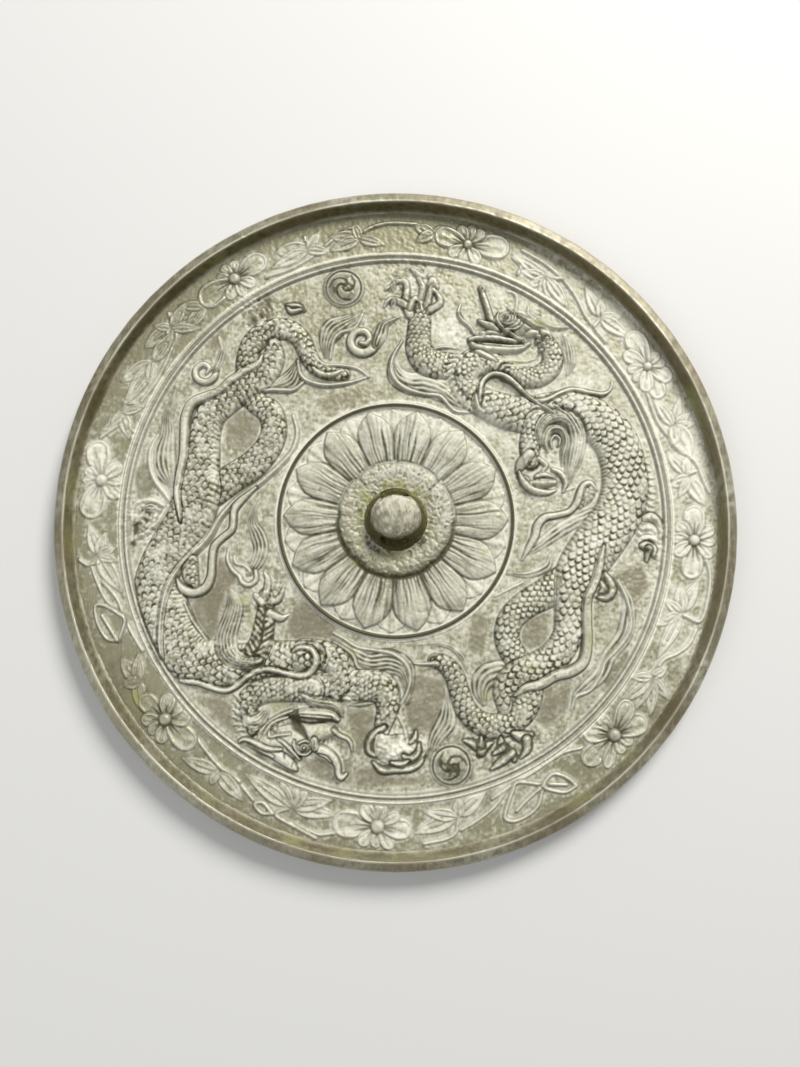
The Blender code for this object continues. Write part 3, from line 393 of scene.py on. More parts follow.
eastHead = [
    ("mass", [(29.6, 61.6, 1.4, 1.9), (32.8, 62.8, 2.4, 2.3), (37, 65.6, 4.2, 2.7), (41.4, 66.4, 4.2, 2.6),
        (46.5, 64.4, 3.2, 2.2), (50.5, 62, 1.6, 1.8)]),
    ("mass", [(25, 59.6, .9, 1.6), (26.6, 57.9, 1.3, 1.8), (31, 57.3, 1.4, 1.9), (36, 57, 1.4, 1.9),
        (41, 57.2, 1.2, 1.7), (44.4, 59, .7, 1.4)]),
    ("line", [(29, 59, .4, 1.8), (33, 58.6, .45, 1.9), (38, 58.2, .45, 1.8), (42.2, 58.4, .3, 1.6)]),
    ("curl", [(24.6, 60.4, .8, 1.8), (28, 60.9, .9, 2.1), (34, 60.6, .9, 2.2), (39, 59.8, .8, 2.1),
        (42.6, 59.6, .4, 1.6)]),
    ("curl", [(26.4, 56.4, .4, 1.6), (28.6, 55.4, 1.1, 1.9), (31.4, 54, .9, 1.8), (33.4, 52.8, .3, 1.4)]),
    ("line", [(34, 54, .3, .7), (38, 53.4, .4, .8), (43, 53, .4, .8), (46, 53.8, .3, .7)]),
    ("line", [(36, 51.6, .3, .7), (40, 51.4, .4, .8), (44, 51.6, .3, .7)]),
    ("curl", [(32.2, 65.4, 1.3, 2.3), (31.2, 69, 1.2, 2.3), (30.1, 73, 1.1, 2.1), (29, 76.4, 1, 1.9)]),
    ("curl", [(27.8, 66.9, .6, 1.7), (29.8, 65.7, 1.1, 2.1), (32.4, 64.4, 1.1, 2.2), (34.6, 63, .5, 1.8)]),
    ("line", [(34.3, 69.6, .4, 2.5), (33.6, 66.8, .75, 3), (35.2, 64.1, .8, 3), (38.4, 62, .8, 2.9),
        (41.4, 60.2, .8, 2.6), (42.4, 60.8, .4, 2.2)]),
    ("line", [(38.6, 70.2, .35, 2.4), (39.8, 68.4, .45, 2.7), (39.4, 66.2, .45, 2.8), (37.4, 65.2, .45, 2.8),
        (35.6, 66, .35, 2.6)]),
    ("line", [(36.4, 63.8, .35, 2.4), (39.4, 63.6, .4, 2.6), (41.6, 65, .4, 2.5), (42.4, 67.2, .3, 2.2)]),
    ("hair3", [(40.6, 68.6, .8, 2.1), (43.6, 66.8, 1.3, 2.1), (46.4, 65, 1.2, 1.9), (49.4, 64.4, .5, 1.4)]),
    ("line", [(26.2, 62.6, .6, 1.5), (24.4, 65.2, .7, 1.5), (21.9, 67.4, .7, 1.4), (20.9, 70, .6, 1.3),
        (21.6, 72.6, .35, .9)]),
    ("line", [(37.2, 77.4, .3, .6), (39.8, 76.4, .6, .9), (40.6, 74, .6, 1), (40.2, 70.8, .5, 1)]),
    ("line", [(38.6, 70, .7, 1.6), (37.6, 71.6, .3, 1)]),
    ("line", [(44.4, 71.6, .4, 1), (44.2, 69.4, .6, 1.2), (45.8, 68.2, .4, 1)]),
    ("hair3", [(48, 67, 1, 1), (52, 65, 1.2, 1.1), (55.4, 64.6, 1, 1), (58.6, 65, .3, .6)]),
    ("hair4", [(56.4, 62, 1.2, .7), (57.6, 57.6, 2, .8), (58, 52.8, 1.8, .8), (57, 48.6, .6, .6)]),
]
eastMane = [
    ("hair6", [(47.6, 25, .8, 1.2), (47.4, 29, 1.8, 2), (49.6, 32.6, 2.4, 2.4), (54, 34, 2.8, 2.6),
        (58, 31.8, 3.2, 2.5), (59.4, 26.6, 3.4, 2.4), (58.6, 21, 3, 2), (57.4, 16, 1.8, 1.4), (57, 11.6, .4, .8)]),
    ("hair3", [(50, 22.4, .4, 1.2), (49.2, 26, 1.1, 1.8), (51, 29.8, 1.4, 2.1), (54.4, 29.6, 1.4, 2.1),
        (56, 26, 1.3, 2), (55, 22, 1.1, 1.7), (54.6, 18, .4, 1)]),
    ("line", [(51.4, 23.6, .3, 1.5), (51, 26, .45, 1.8), (52.4, 27.8, .45, 1.9), (54, 26.6, .4, 1.8),
        (53.6, 24.4, .3, 1.5)]),
]
eastRibbons = [
    ("band", [(27.8, 38.9, .3, 1.3), (27.8, 42.5, .9, 1.9), (29, 46.4, 1, 2.1), (32, 48.4, 1, 2.1),
        (35.8, 47.8, 1, 2.1), (39.6, 45, 1, 2), (43, 41.6, .9, 1.9), (46, 39.4, .9, 1.8), (50, 39.8, .9, 1.7),
        (54, 42, .9, 1.6), (58.4, 43.4, .9, 1.5), (64, 42.4, .9, 1.5), (68.6, 41.8, .8, 1.4), (71.2, 43.6, .4, 1),
        (71.8, 45.8, .3, .8)]),
    ("line", [(42, 42.4, .4, 2.4), (46, 39, .5, 2.6), (52, 35.2, .5, 2.8)]),
    ("line", [(52, 38, .4, 2.4), (57, 34, .5, 2.5), (60, 29, .5, 2.4), (60.5, 26, .3, 2)]),
    ("tube", [(67.2, -8.6, .3, 2.6), (66.2, -12.5, 1, 2.6), (65.6, -16, 1.3, 2.4), (64, -21, 1.4, 2.3),
        (61.8, -26, 1.5, 2.4), (61.4, -33, 1.6, 2.5), (61.4, -40, 1.6, 2.4), (60, -46, 1.7, 2.3),
        (56, -49, 1.7, 2.2), (51, -50.4, 1.6, 2.1), (46.4, -53, 1.6, 2), (41.6, -54, 1.2, 1.7),
        (38, -56.6, .4, 1.1)]),
    ("tube", [(41, -13.2, .3, .6), (43, -9.6, .9, 1.1), (45.2, -5.6, 1.2, 1.3), (46.2, -2, 1.3, 1.4),
        (48.6, .6, 1.2, 1.4), (52.4, 1.4, 1, 1.4), (56.6, 2.6, 1, 1.4), (59, 5.4, 1.1, 1.5), (60.2, 9, 1, 1.5),
        (61.6, 11.4, .9, 1.4), (63.8, 12, .8, 1.2), (65.8, 9.6, .3, .8)]),
]

eastEdge = [(79, 22), (81, 18), (82.2, 12), (82, 5), (80.6, -2), (78.4, -8)]


def layEast():
    for lines in (eastUnder, eastLegs):
        draw(lines, 1)
    fringe([(22, 56), (19, 52), (18.3, 48), (19.4, 44), (22, 40.5), (25, 37.6)], -1, 2.1, 2.6, .8, 1.1)
    fringe(eastEdge, 1, 2.2, 3.0, .8, 1.2)
    lay(eastBody, dress=banded(-0.8, plates(1.6, 0.25), scales(2.05, 2.4, 0.7)), mark=wearMark[1], deep=0.75)
    for lines in (eastHind, eastFore, eastHead):
        draw(lines, 1)
    for x, y, wide, rise in ((36.8, 67.8, 1.5, 2.7), (36.8, 67.8, .7, 3.0), (28.8, 62.4, 1.1, 1.9),
                             (28.9, 78, 1.4, 1.9)):
        dome(x, y, wide, wide, rise)
    carve([(28.9, 78.1, .45), (28.9, 77.7, .45)], 0.6)
    dome(45.4, 62.4, 2.2, 1.2, 2.4, angle=12)
    for x, y in ((47, 59.6), (49, 58.6), (48.2, 56.6), (50.2, 60.6), (47.6, 61.2)):
        dome(x, y, 0.8, 0.8, 2.2)
    for lines in (eastMane, eastRibbons):
        draw(lines, 1)
    layPearl(17.6, -78.4, 1, 1)


def layPearl(x, y, turn, spin):
    # a ball in a thin ring, with comma lines that turn to its middle
    dome(x, y, 6.8, 6.8, 0.9, form="flat", turn=turn, deep=0.9)
    dome(x, y, 5.7, 5.7, 2.2, form="soft", lift=0, turn=turn, moat=0.6, crease=1.0)
    for start in (0, 120, 240):
        path = []
        for step in range(7):
            angle, reach = math.radians(start + spin * 30 * step), 5.0 - 0.76 * step
            path.append((x + reach * math.cos(angle), y + reach * math.sin(angle), 0.22 + 0.05 * step))
        carve(path, 0.5, turn)


# The western dragon, in the frame of the eastern one turned half round.
westUnder = [
    ("hair6", [(-3.4, 59, .8, .6), (-4, 53, 1.8, .9), (-2.6, 48, 3.2, 1.1), (2.4, 45.8, 4, 1.2),
        (8.4, 46.2, 4, 1.2), (13.6, 44, 3.6, 1.1), (18, 40.6, 2, .9), (21, 38, .4, .5)]),
    ("line", [(-.5, 61, .3, .9), (-3.4, 56, .5, 1.2), (-4.6, 51, .6, 1.3), (-3.2, 46.6, .7, 1.3),
        (1, 43.4, .7, 1.3), (7, 42.2, .6, 1.3), (12.4, 41.2, .6, 1.2), (17, 38.4, .5, 1.1), (20.4, 36.6, .3, .8)]),
    ("line", [(6, 49.4, .4, 1.2), (12, 47.8, .5, 1.3), (14, 43.6, .5, 1.3), (20, 39.6, .3, 1)]),
    ("hair4", [(47.5, 17.5, 1, .8), (45, 14, 2, 1.1), (43.8, 9.5, 2.4, 1.2), (45, 5, 2.4, 1.2), (46.6, 1.5, 1.6, 1),
        (46, -3, .8, .8), (44.6, -6, .3, .5)]),
    ("claw", [(45.4, 17, .7, 1.2), (45.2, 19.6, .8, 1.3), (47.4, 21.4, .8, 1.3), (49.8, 20.4, .8, 1.3),
        (50.6, 18.6, .7, 1.2), (53, 16.4, .7, 1.2), (54.6, 13, .6, 1.1), (54.4, 9.6, .3, .6)]),
    ("line", [(47.2, 17, .6, 1), (49, 15.2, .5, 1), (52, 14.2, .5, 1), (52.6, 11.8, .3, .6)]),
    ("hair5", [(74, -12, 1.5, .8), (76, -17, 3.6, 1.1), (76.4, -22, 3.8, 1.1), (75.4, -28, 2.4, 1),
        (75.4, -34, 1.7, .9), (74, -39, 1.3, .8), (73, -44.6, .4, .5)]),
    ("line", [(73.6, -5.6, .8, .9), (76, -9, .9, 1.1), (78.8, -12.6, 1, 1.3), (80.6, -17.4, 1, 1.3),
        (80.6, -23, .9, 1.2), (78.4, -28, .4, .8)]),
    ("curl", [(59.6, -50.6, .8, 1.1), (60.4, -47.4, 1.1, 1.4), (63, -45.8, 1.1, 1.4), (66, -47, 1.1, 1.4),
        (66.6, -50, 1, 1.3), (64.2, -52, 1, 1.2), (62, -50.6, .8, 1.1), (63, -48.8, .4, .9)]),
    ("hair3", [(60, -50, 1, 1), (58.6, -53.4, 1.3, 1), (58, -57, 1, .9), (59.4, -61.6, .3, .6)]),
    ("hair4", [(7, -60, 1.6, .9), (6, -64, 1.4, .8), (2, -67.4, .5, .5)]),
    ("curl", [(6.4, -60.6, 1.2, 1.4), (7.6, -57.4, 1.5, 1.6), (10.6, -55.8, 1.5, 1.7), (13.8, -56.8, 1.5, 1.7),
        (15.2, -59.8, 1.4, 1.6), (13.6, -62.8, 1.3, 1.6), (10.4, -63.2, 1.2, 1.5), (8.8, -61, 1, 1.5),
        (10, -58.9, .9, 1.5), (12, -59.4, .6, 1.3)]),
    ("hair3", [(6.6, -58.4, 1.4, 1.3), (5.2, -62, 2.1, 1.3), (4, -65.4, 1.6, 1.2), (1.6, -67, .9, 1),
        (-1.4, -68.6, .3, .6)]),
    ("hair5", [(23.4, -54.6, .6, .7), (23, -60, 2.6, 1), (21, -64, 3.8, 1.1), (17, -66.4, 2.6, 1),
        (13.6, -68.4, 1.5, .8), (10.8, -70.6, .3, .4)]),
    ("line", [(22, -54, .4, 1), (20.8, -60, .5, 1.2), (18.6, -62.6, .6, 1.2), (14, -64.4, .6, 1.1),
        (12.2, -67, .5, 1), (10.8, -70.4, .3, .7)]),
    ("hair5", [(45.6, -42.8, .6, 1), (40, -44.4, 1.8, 1.3), (35.4, -46.6, 3, 1.4), (33.4, -50.6, 1.6, 1.2),
        (32.6, -54, .5, .8)]),
    ("line", [(47, -41.6, .4, 1.2), (42.6, -43, .6, 1.4), (38, -43, .8, 1.6), (34, -43.2, .7, 1.5),
        (30.6, -46, .5, 1.2)]),
    ("hair2", [(1, -71.4, .3, .6), (1, -73, 1.2, .8), (.6, -74.6, .3, .6)]),
    ("hair2", [(1, -77.4, .3, .6), (1, -79, 1, .8), (.6, -80.4, .3, .6)]),
    ("hair2", [(6, 58.4, .3, .6), (10.4, 58.6, 1.6, 1), (15.4, 59.6, .3, .6)]),
]
westLegs = [
    ("fine", [(24, 53.8, 4.2, 2), (17, 53.6, 4.6, 2.2), (9.5, 53.4, 4.8, 2.3), (4.2, 54.4, 4.8, 2.4),
        (2.5, 60, 3.5, 2.3), (3.8, 65, 2.8, 2.1), (4.4, 68, 2, 2)]),
    ("talon", [(-8.8, 75.2, .5, 1), (-7.4, 77.8, .8, 1.2), (-4.6, 79.4, .9, 1.3), (0, 79.8, .9, 1.3),
        (4.4, 79.8, 1, 1.4), (7.2, 77.4, .3, .9)]),
    ("talon", [(3.6, 66.4, .7, 1.2), (6.8, 68.4, .9, 1.4), (8.6, 71.4, 1, 1.5), (8.4, 74.2, .8, 1.3),
        (5.6, 75.8, .3, .9)]),
    ("mass", [(4.6, 70.4, 2, 1.2), (2.4, 73.4, 4.2, 1.7), (-2, 73.6, 4.8, 1.8), (-6.2, 73, 3.6, 1.5),
        (-8.8, 71.8, 1, .9)]),
    ("talon", [(-2.6, 75.4, .6, 1.6), (-4.8, 76.4, 1, 1.8), (-7, 74.4, .8, 1.6), (-7.4, 71.6, .3, 1.1)]),
    ("talon", [(-4.4, 71.2, .4, 1.5), (-6, 69.8, .7, 1.4), (-6.4, 67.8, .3, .9)]),
    ("talon", [(1.4, 77.4, .4, 1.5), (-1.6, 78, .8, 1.7), (-4, 77, .4, 1.3)]),
    ("line", [(-3.6, 71, .5, .9), (-2.8, 67, .6, 1), (-.8, 63, .5, .9)]),
    ("neck", [(33, 54, 3.8, 2), (26, 54.2, 4.2, 2.1), (19.6, 54.8, 4.4, 2.2), (17, 50.6, 4.2, 2.3),
        (18.4, 46.6, 4.2, 2.3), (23, 44, 4.6, 2.3), (29, 43.4, 4.8, 2.3)]),
    ("fine", [(44.5, 66, 3.2, 2.2), (47.4, 62, 3.4, 2.3), (46.4, 57.6, 3.6, 2.3), (41, 55, 3.8, 2.2),
        (34, 54.4, 4, 2.1), (27, 54.4, 4.2, 2.1)]),
    ("tail", [(60, -9, 5, 2.3), (53.6, -13.6, 4.8, 2.3), (47.4, -17.8, 4.6, 2.3), (42.4, -23.4, 4.3, 2.2),
        (40.2, -29.6, 4.1, 2.2), (41.6, -35.6, 4, 2.1), (45.6, -38.6, 3.6, 2), (49, -42, 3.4, 1.8),
        (50, -48, 3.2, 1.7), (49.6, -54, 3.4, 1.9), (47.4, -59.6, 3.7, 2.1), (42.4, -63.4, 3.7, 2.2),
        (36.6, -64, 3.5, 2.2), (32, -61, 3.2, 2.1), (29.6, -56, 2.9, 2), (27, -51.6, 2.7, 1.9),
        (22.6, -49, 2.3, 1.7), (17, -48.6, 1.8, 1.4)]),
    ("line", [(32.6, -53, .5, 1.3), (31.6, -48.4, .7, 1.5), (28.6, -46, .8, 1.6), (23, -44.8, .8, 1.6),
        (16, -45.6, .7, 1.4), (9, -47.8, .4, .9)]),
    ("line", [(9, -47.8, .4, .9), (13, -50.6, .6, 1.2), (18.4, -51.6, .6, 1.3), (24, -52, .6, 1.3),
        (27.4, -55, .5, 1.3)]),
    ("bare", [(17.6, -49.8, .4, 1.2), (21, -48.2, 1, 1.7), (25, -48.4, .9, 1.7), (27.6, -50.6, .5, 1.3)]),
]
westBody = [
    (27, 44, 4.6, 2.2), (34, 44.4, 5, 2.4), (42, 45, 5.6, 2.5), (50, 46.6, 6.2, 2.6), (58, 46.6, 6.8, 2.6),
    (65.6, 44, 8, 2.8), (71.5, 38.4, 9, 2.9), (75, 31, 9, 2.9), (77.5, 22, 7, 2.9), (76.4, 16, 6.8, 2.9),
    (73.4, 10, 7, 2.9), (69.6, 4, 7.2, 2.9), (66.4, -3, 7.6, 2.9), (64.4, -10, 7.2, 2.8), (64.2, -14.4, 6.2, 2.7),
    (63.4, -21.6, 5.4, 2.5), (63, -28.4, 5, 2.4), (61, -35, 5, 2.4), (56, -40, 5, 2.4), (50, -44.4, 4.8, 2.4),
    (44.4, -48.6, 4.6, 2.3), (41, -53.6, 3.8, 2.1), (40.6, -58.6, 2.2, 1.6)
]
westRidge = [
    ("line", [(74.6, 45, .8, 2.9), (75.2, 40, .9, 3.1), (75.2, 34, .9, 3.1), (74.6, 28, .9, 3.1),
        (73.4, 22.6, 1, 3), (70.6, 17, 1.1, 2.8), (66, 11.6, 1.2, 2.5), (61, 6, 1.2, 2.2), (57, -1, 1, 2),
        (52, -6.4, 1, 1.8), (45, -11.6, 1, 1.6), (38, -18, .9, 1.4), (34, -23, .8, 1.3), (32.6, -29, .7, 1.2),
        (34, -34.6, .5, 1)]),
    ("line", [(60.5, 39, .4, 2), (65, 33, .5, 2.2), (68, 27, .4, 2.2)]),
]
westHind = [
    ("talon", [(31, -70.4, .4, .8), (33, -71.8, 1.2, 1.3), (36.6, -72.4, .4, .9)]),
    ("talon", [(32, -70.6, .6, 1.1), (35, -70.2, .9, 1.2), (36.4, -71.4, .4, .9)]),
    ("mass", [(45.6, -66.4, 1.4, .4), (47.4, -68, 1.8, .5), (48.6, -69.8, .8, .3)]),
    ("mass", [(41.4, -72, 1, .25), (42.4, -74.6, 1.4, .3)]),
    ("mass", [(74.6, -4.4, .8, 1.2), (76.6, -1, 1, 1.3), (79, 2.2, 1.1, 1.2), (82, 4.8, 1, 1), (86, 6.4, .8, .8)]),
    ("mass", [(76, -4.6, .8, 1), (79, -6, 1, 1), (83, -6.2, .8, .9), (86, -4, .7, .8), (86.2, 0, .8, .9),
        (86, 5, .7, .8), (86, 9, .5, .7)]),
    ("hair3", [(77.6, -3.2, .5, .8), (80, -3.8, 1.6, 1.2), (82.4, -3.4, .6, .8)]),
    ("mass", [(79, .4, .6, .8), (81.6, -1, 1, .9), (83.6, -.6, .7, .8), (85, 1.4, .5, .7)]),
]
westFore = [
    ("bent", [(46, 45.6, 4, 2.3), (43.4, 40, 3.6, 2.2), (42.4, 34.6, 3.2, 2.1), (42, 29, 2.6, 2),
        (42, 24.6, 2.2, 1.7)]),
    ("claw", [(40, 30.6, 1.4, 1.6), (37, 32, 1.2, 1.5), (34.6, 31, .4, .8)]),
    ("claw", [(40.8, 26.6, 1.2, 1.5), (38, 26, 1.1, 1.4), (36, 21.6, .4, .8)]),
    ("claw", [(42, 25, 1.2, 1.5), (41.4, 20, 1, 1.3), (42.6, 17.2, .4, .8)]),
    ("claw", [(43.4, 27, 1.2, 1.5), (45.4, 24.6, .8, 1.2)]),
    ("hair6", [(43, 45.6, 1.2, 2.2), (48, 46, 2.2, 2.2), (53, 43.6, 3.2, 2), (54.6, 38.6, 3.4, 1.8),
        (53, 32.6, 3, 1.5), (52, 28, 2.6, 1.3), (53.4, 23.4, 1.2, .9)]),
]
westHead = [
    ("mass", [(20, 67.6, 1.6, 1.9), (24.6, 68.2, 3, 2.3), (30, 70.2, 5, 2.7), (35.4, 71.2, 5, 2.5),
        (40.4, 71, 3.6, 2.1), (45, 71, 1.4, 1.5)]),
    ("hair4", [(17, 63, .5, 1.1), (18.4, 60.4, 1.6, 1.6), (21.8, 59, 2.1, 1.8), (26.2, 58.4, 1.8, 1.8),
        (30.4, 55.8, .5, 1.2)]),
    ("mass", [(18.2, 64.2, .6, 1.6), (20.6, 62.7, 1.4, 2), (25, 62.3, 1.8, 2.1), (30, 62.2, 1.4, 2),
        (33.4, 62.6, .6, 1.6)]),
    ("line", [(20.6, 63.6, .35, 2), (25, 63.2, .45, 2.3), (30.4, 62.8, .35, 2.1)]),
    ("curl", [(25.4, 73, 1.3, 2.4), (22.8, 73.9, 1.7, 2.3), (19.8, 76, 1.5, 2.1), (18.3, 78.6, 1.1, 1.9),
        (18.2, 80.8, 1, 1.8), (17.2, 82.2, .9, 1.7), (15.6, 80.9, .6, 1.3)]),
    ("line", [(24.2, 75, .4, 1.8), (22.2, 75.6, .5, 1.9), (20.6, 77.2, .4, 1.7)]),
    ("curl", [(19.8, 67.2, .7, 1.8), (17.8, 69, .8, 1.6), (15.4, 70, .7, 1.5), (14.2, 71.6, .6, 1.3),
        (13.9, 73.8, .3, .9)]),
    ("line", [(26.6, 73.6, .35, 2.5), (28.2, 74.9, .5, 2.8), (30.6, 74.5, .5, 2.8), (32, 72.4, .45, 2.7),
        (32, 70.4, .3, 2.4)]),
    ("line", [(27.2, 71.2, .3, 2.4), (28.6, 70.6, .4, 2.7), (30.6, 71.4, .4, 2.7)]),
    ("line", [(30.4, 76.4, .5, 2.3), (32.4, 74, .6, 2.7), (35, 71.4, .6, 2.6), (37.4, 69.8, .3, 2.2)]),
    ("curl", [(31.2, 79.8, .4, 1.4), (32.6, 78.6, 1.3, 1.9), (35.4, 76.4, 1.9, 2.1), (39, 74.8, 1.4, 1.9),
        (43, 73.6, .5, 1.3)]),
    ("hair3", [(38.8, 75.6, .6, 1.4), (42, 74, 1.2, 1.5), (45.4, 72.4, .8, 1.2), (48, 71.6, .3, .8)]),
    ("curl", [(36.2, 73.2, .5, 2.4), (40, 73.1, .8, 2.3), (43, 72, .9, 2), (46, 70.6, .8, 1.7),
        (48.4, 70.2, .7, 1.5), (50.2, 71.4, .4, 1.1)]),
    ("line", [(33.6, 68.4, .5, 2.5), (37, 68.8, .6, 2.4), (40, 69.2, .6, 2.1), (39.9, 66.7, .5, 1.8),
        (37.8, 65.4, .35, 1.6)]),
    ("line", [(33, 61.3, .6, 1.7), (36.8, 62.8, .7, 1.8), (40.6, 65.2, .7, 1.7), (42.8, 67.8, .6, 1.6),
        (43.6, 70, .3, 1.1)]),
    ("line", [(34.4, 63.4, .4, 1.5), (37.6, 64.4, .5, 1.6), (40, 66, .5, 1.6), (41.8, 68.6, .3, 1.3)]),
    ("hair4", [(41.6, 62, 1.4, 1), (43.6, 64.4, 2, 1.1), (46.6, 64.6, 1.6, 1), (48.6, 61.4, 1, .9)]),
]
westRibbons = [
    ("tube", [(33, 42.6, .3, 1.5), (30.4, 41.2, .8, 1.7), (27, 42, 1, 1.9), (25.4, 45, 1.1, 2.1),
        (26.6, 48.6, 1.1, 2.2), (29.6, 50.2, 1, 2.2), (34.6, 49.6, .9, 2.1), (39.6, 48.4, .9, 2.1),
        (43.6, 48.6, .9, 2), (47.4, 50.6, .9, 1.9), (50.6, 53.4, .9, 1.8), (54.4, 55, .9, 1.7), (59, 54, .9, 1.6),
        (63, 52.6, .9, 1.5), (66.4, 52.2, .9, 1.4), (68.8, 51.8, .5, 1)]),
    ("tube", [(69.8, 1, .3, 2.6), (70.6, -4, .9, 2.5), (71.4, -9, 1.2, 2.4), (70.8, -15, 1.3, 2.3),
        (69.8, -21, 1.4, 2.4), (69.6, -28, 1.5, 2.5), (69.4, -34, 1.6, 2.4), (67.4, -38.6, 1.6, 2.4),
        (63, -40.8, 1.6, 2.3), (58.6, -42.6, 1.5, 2.2), (54.6, -46.4, 1.5, 2.1), (49.6, -49.6, 1.4, 2),
        (45.8, -52, 1, 1.6), (44.6, -55, .4, 1.1)]),
    ("tube", [(45.8, -10.4, .4, .9), (50.4, -6.2, 1, 1.3), (52.8, -3, 1.1, 1.4), (53, .6, 1.1, 1.5),
        (53.6, 3.6, 1.1, 1.5), (56.6, 6.2, 1.1, 1.5), (59, 9, 1.2, 1.6), (59.6, 13.6, 1.2, 1.6),
        (59.8, 18.4, 1.3, 1.7), (61.6, 22.4, 1.5, 1.9), (65.6, 23.8, 1.5, 2), (69, 22.4, 1.2, 1.9),
        (70.6, 19.6, .4, 1.6)]),
    ("fine", [(65, 21, 1.4, 1.6), (66.6, 17.4, 2.6, 1.8), (65.6, 13, 1.2, 1.4)]),
]


def layWest():
    for lines in (westUnder, westLegs):
        draw(lines, -1)
    fringe([(17, 58.6), (14, 56), (13.4, 53), (14, 50)], -1, 2.1, 2.6, .8, 1.1, turn=-1)
    fringe([(47.5, 68.5), (50, 65), (50.5, 60), (50, 56)], 1, 2.1, 2.6, .8, 1.1, turn=-1)
    lay(westBody, dress=banded(-0.6, plates(1.7, 0.4), scales(1.85, 2.3, 0.6)), mark=wearMark[-1],
        deep=0.75, turn=-1)
    for lines in (westRidge, westHind, westFore, westHead):
        draw(lines, -1)
    for x, y, wide, rise in ((28.9, 72.7, 1.3, 2.8), (28.9, 72.7, .65, 3.1), (38.3, 67, .8, 1.9)):
        dome(x, y, wide, wide, rise, turn=-1)
    dome(25.7, 71.6, 1.2, 2.3, 2.5, turn=-1)
    for path in (((25.7, 72.6, .4), (25.7, 70.6, .4)), ((35, 76, .45), (35.2, 74.9, .45)),
                 ((32.4, 77.4, .3), (32.8, 78.6, .25)),
                 ((20.2, 70.2, .25), (20.6, 71.6, .25)), ((21.4, 70.4, .25), (21.8, 71.9, .25)),
                 ((22.6, 70.4, .25), (23, 71.8, .25)), ((23.8, 70.4, .3), (24.2, 71.2, .25)),
                 ((18.4, 65.4, .3), (20.4, 64.6, .4), (23.6, 64.8, .4), (27, 65.3, .4), (31, 64.4, .35))):
        carve(path, 0.7, -1)
    carve([(27.8, 70, .5), (29.6, 67.6, 1.3), (31.6, 65.8, 1.9), (32.4, 63.8, 1.7), (31.6, 61.8, .9)], 1.2, -1,
          crease=0.7)
    draw(westRibbons, -1)
    layPearl(17.6, -78.4, -1, -1)


print("laying out the lotus")

lotus = {
    "petals": (0, 27, 53, 79, 104, 128, 153, 178, 204, 229, 254, 281, 306, 332),  # degrees round the centre
    "petalEdge": ((19.5, .47), (24, .5), (28, .49), (31, .43), (33.5, .3), (35.4, .14), (36.6, .02), (36.8, 0.0)),
    "petalRise": 1.8,
    "petalFoot": 17,
    "petalTip": 36.8,
    "swell": ((19, 0.5), (22, 0.62), (27, 0.95), (33, 1.0), (36.8, 0.55)),
    # off the petal's middle, reach
    "grooves": ((-.37, 29.5), (-.25, 32), (-.12, 34.5), (.01, 33), (.13, 35), (.25, 32.5), (.37, 30)),
    "groovesDeep": 0.5,
    "groovesDark": ((19.5, 0.55), (26, 0.85)),
    "hatchRows": (21, 27, 33),
    "hatchDeep": 0.07,
    "behind": ((29, 0.5), (33, 0.4), (35.4, 0.2), (36.8, 0.0)),  # the outer petals' half width, by radius
    "outlineDark": ((20, 0.6), (28, 0.7), (33, 0.45), (36.8, 0.35)),
    "ring": 38.1,
    "outerRing": 39.4,
    "edge": 40.1,
    # degrees, depth
    "seams": ((42, 1.0), (90, .5), (132, 1.0), (176, .8), (225, .25), (262, .1), (308, .45), (352, .35)),
    "seamDeep": 0.4,
    "podReach": 19.3,
    "podRise": 1.25,
    "podProfile": ((10, 0.4), (13, 0.55), (15.6, 1.0), (17.4, 1.0), (19.4, 0.85)),
}


def along(value, table):
    # the table's second numbers, read off at a value among its first
    return np.interp(value, *np.array(table, float).T)


def bell(value, middle, spread):
    return np.exp(-((value - middle) / spread) ** 2)


def ramp(value, start, reach):
    # from 0 at start to 1 at start + reach, which may be negative
    return np.clip((value - start) / reach, 0, 1)


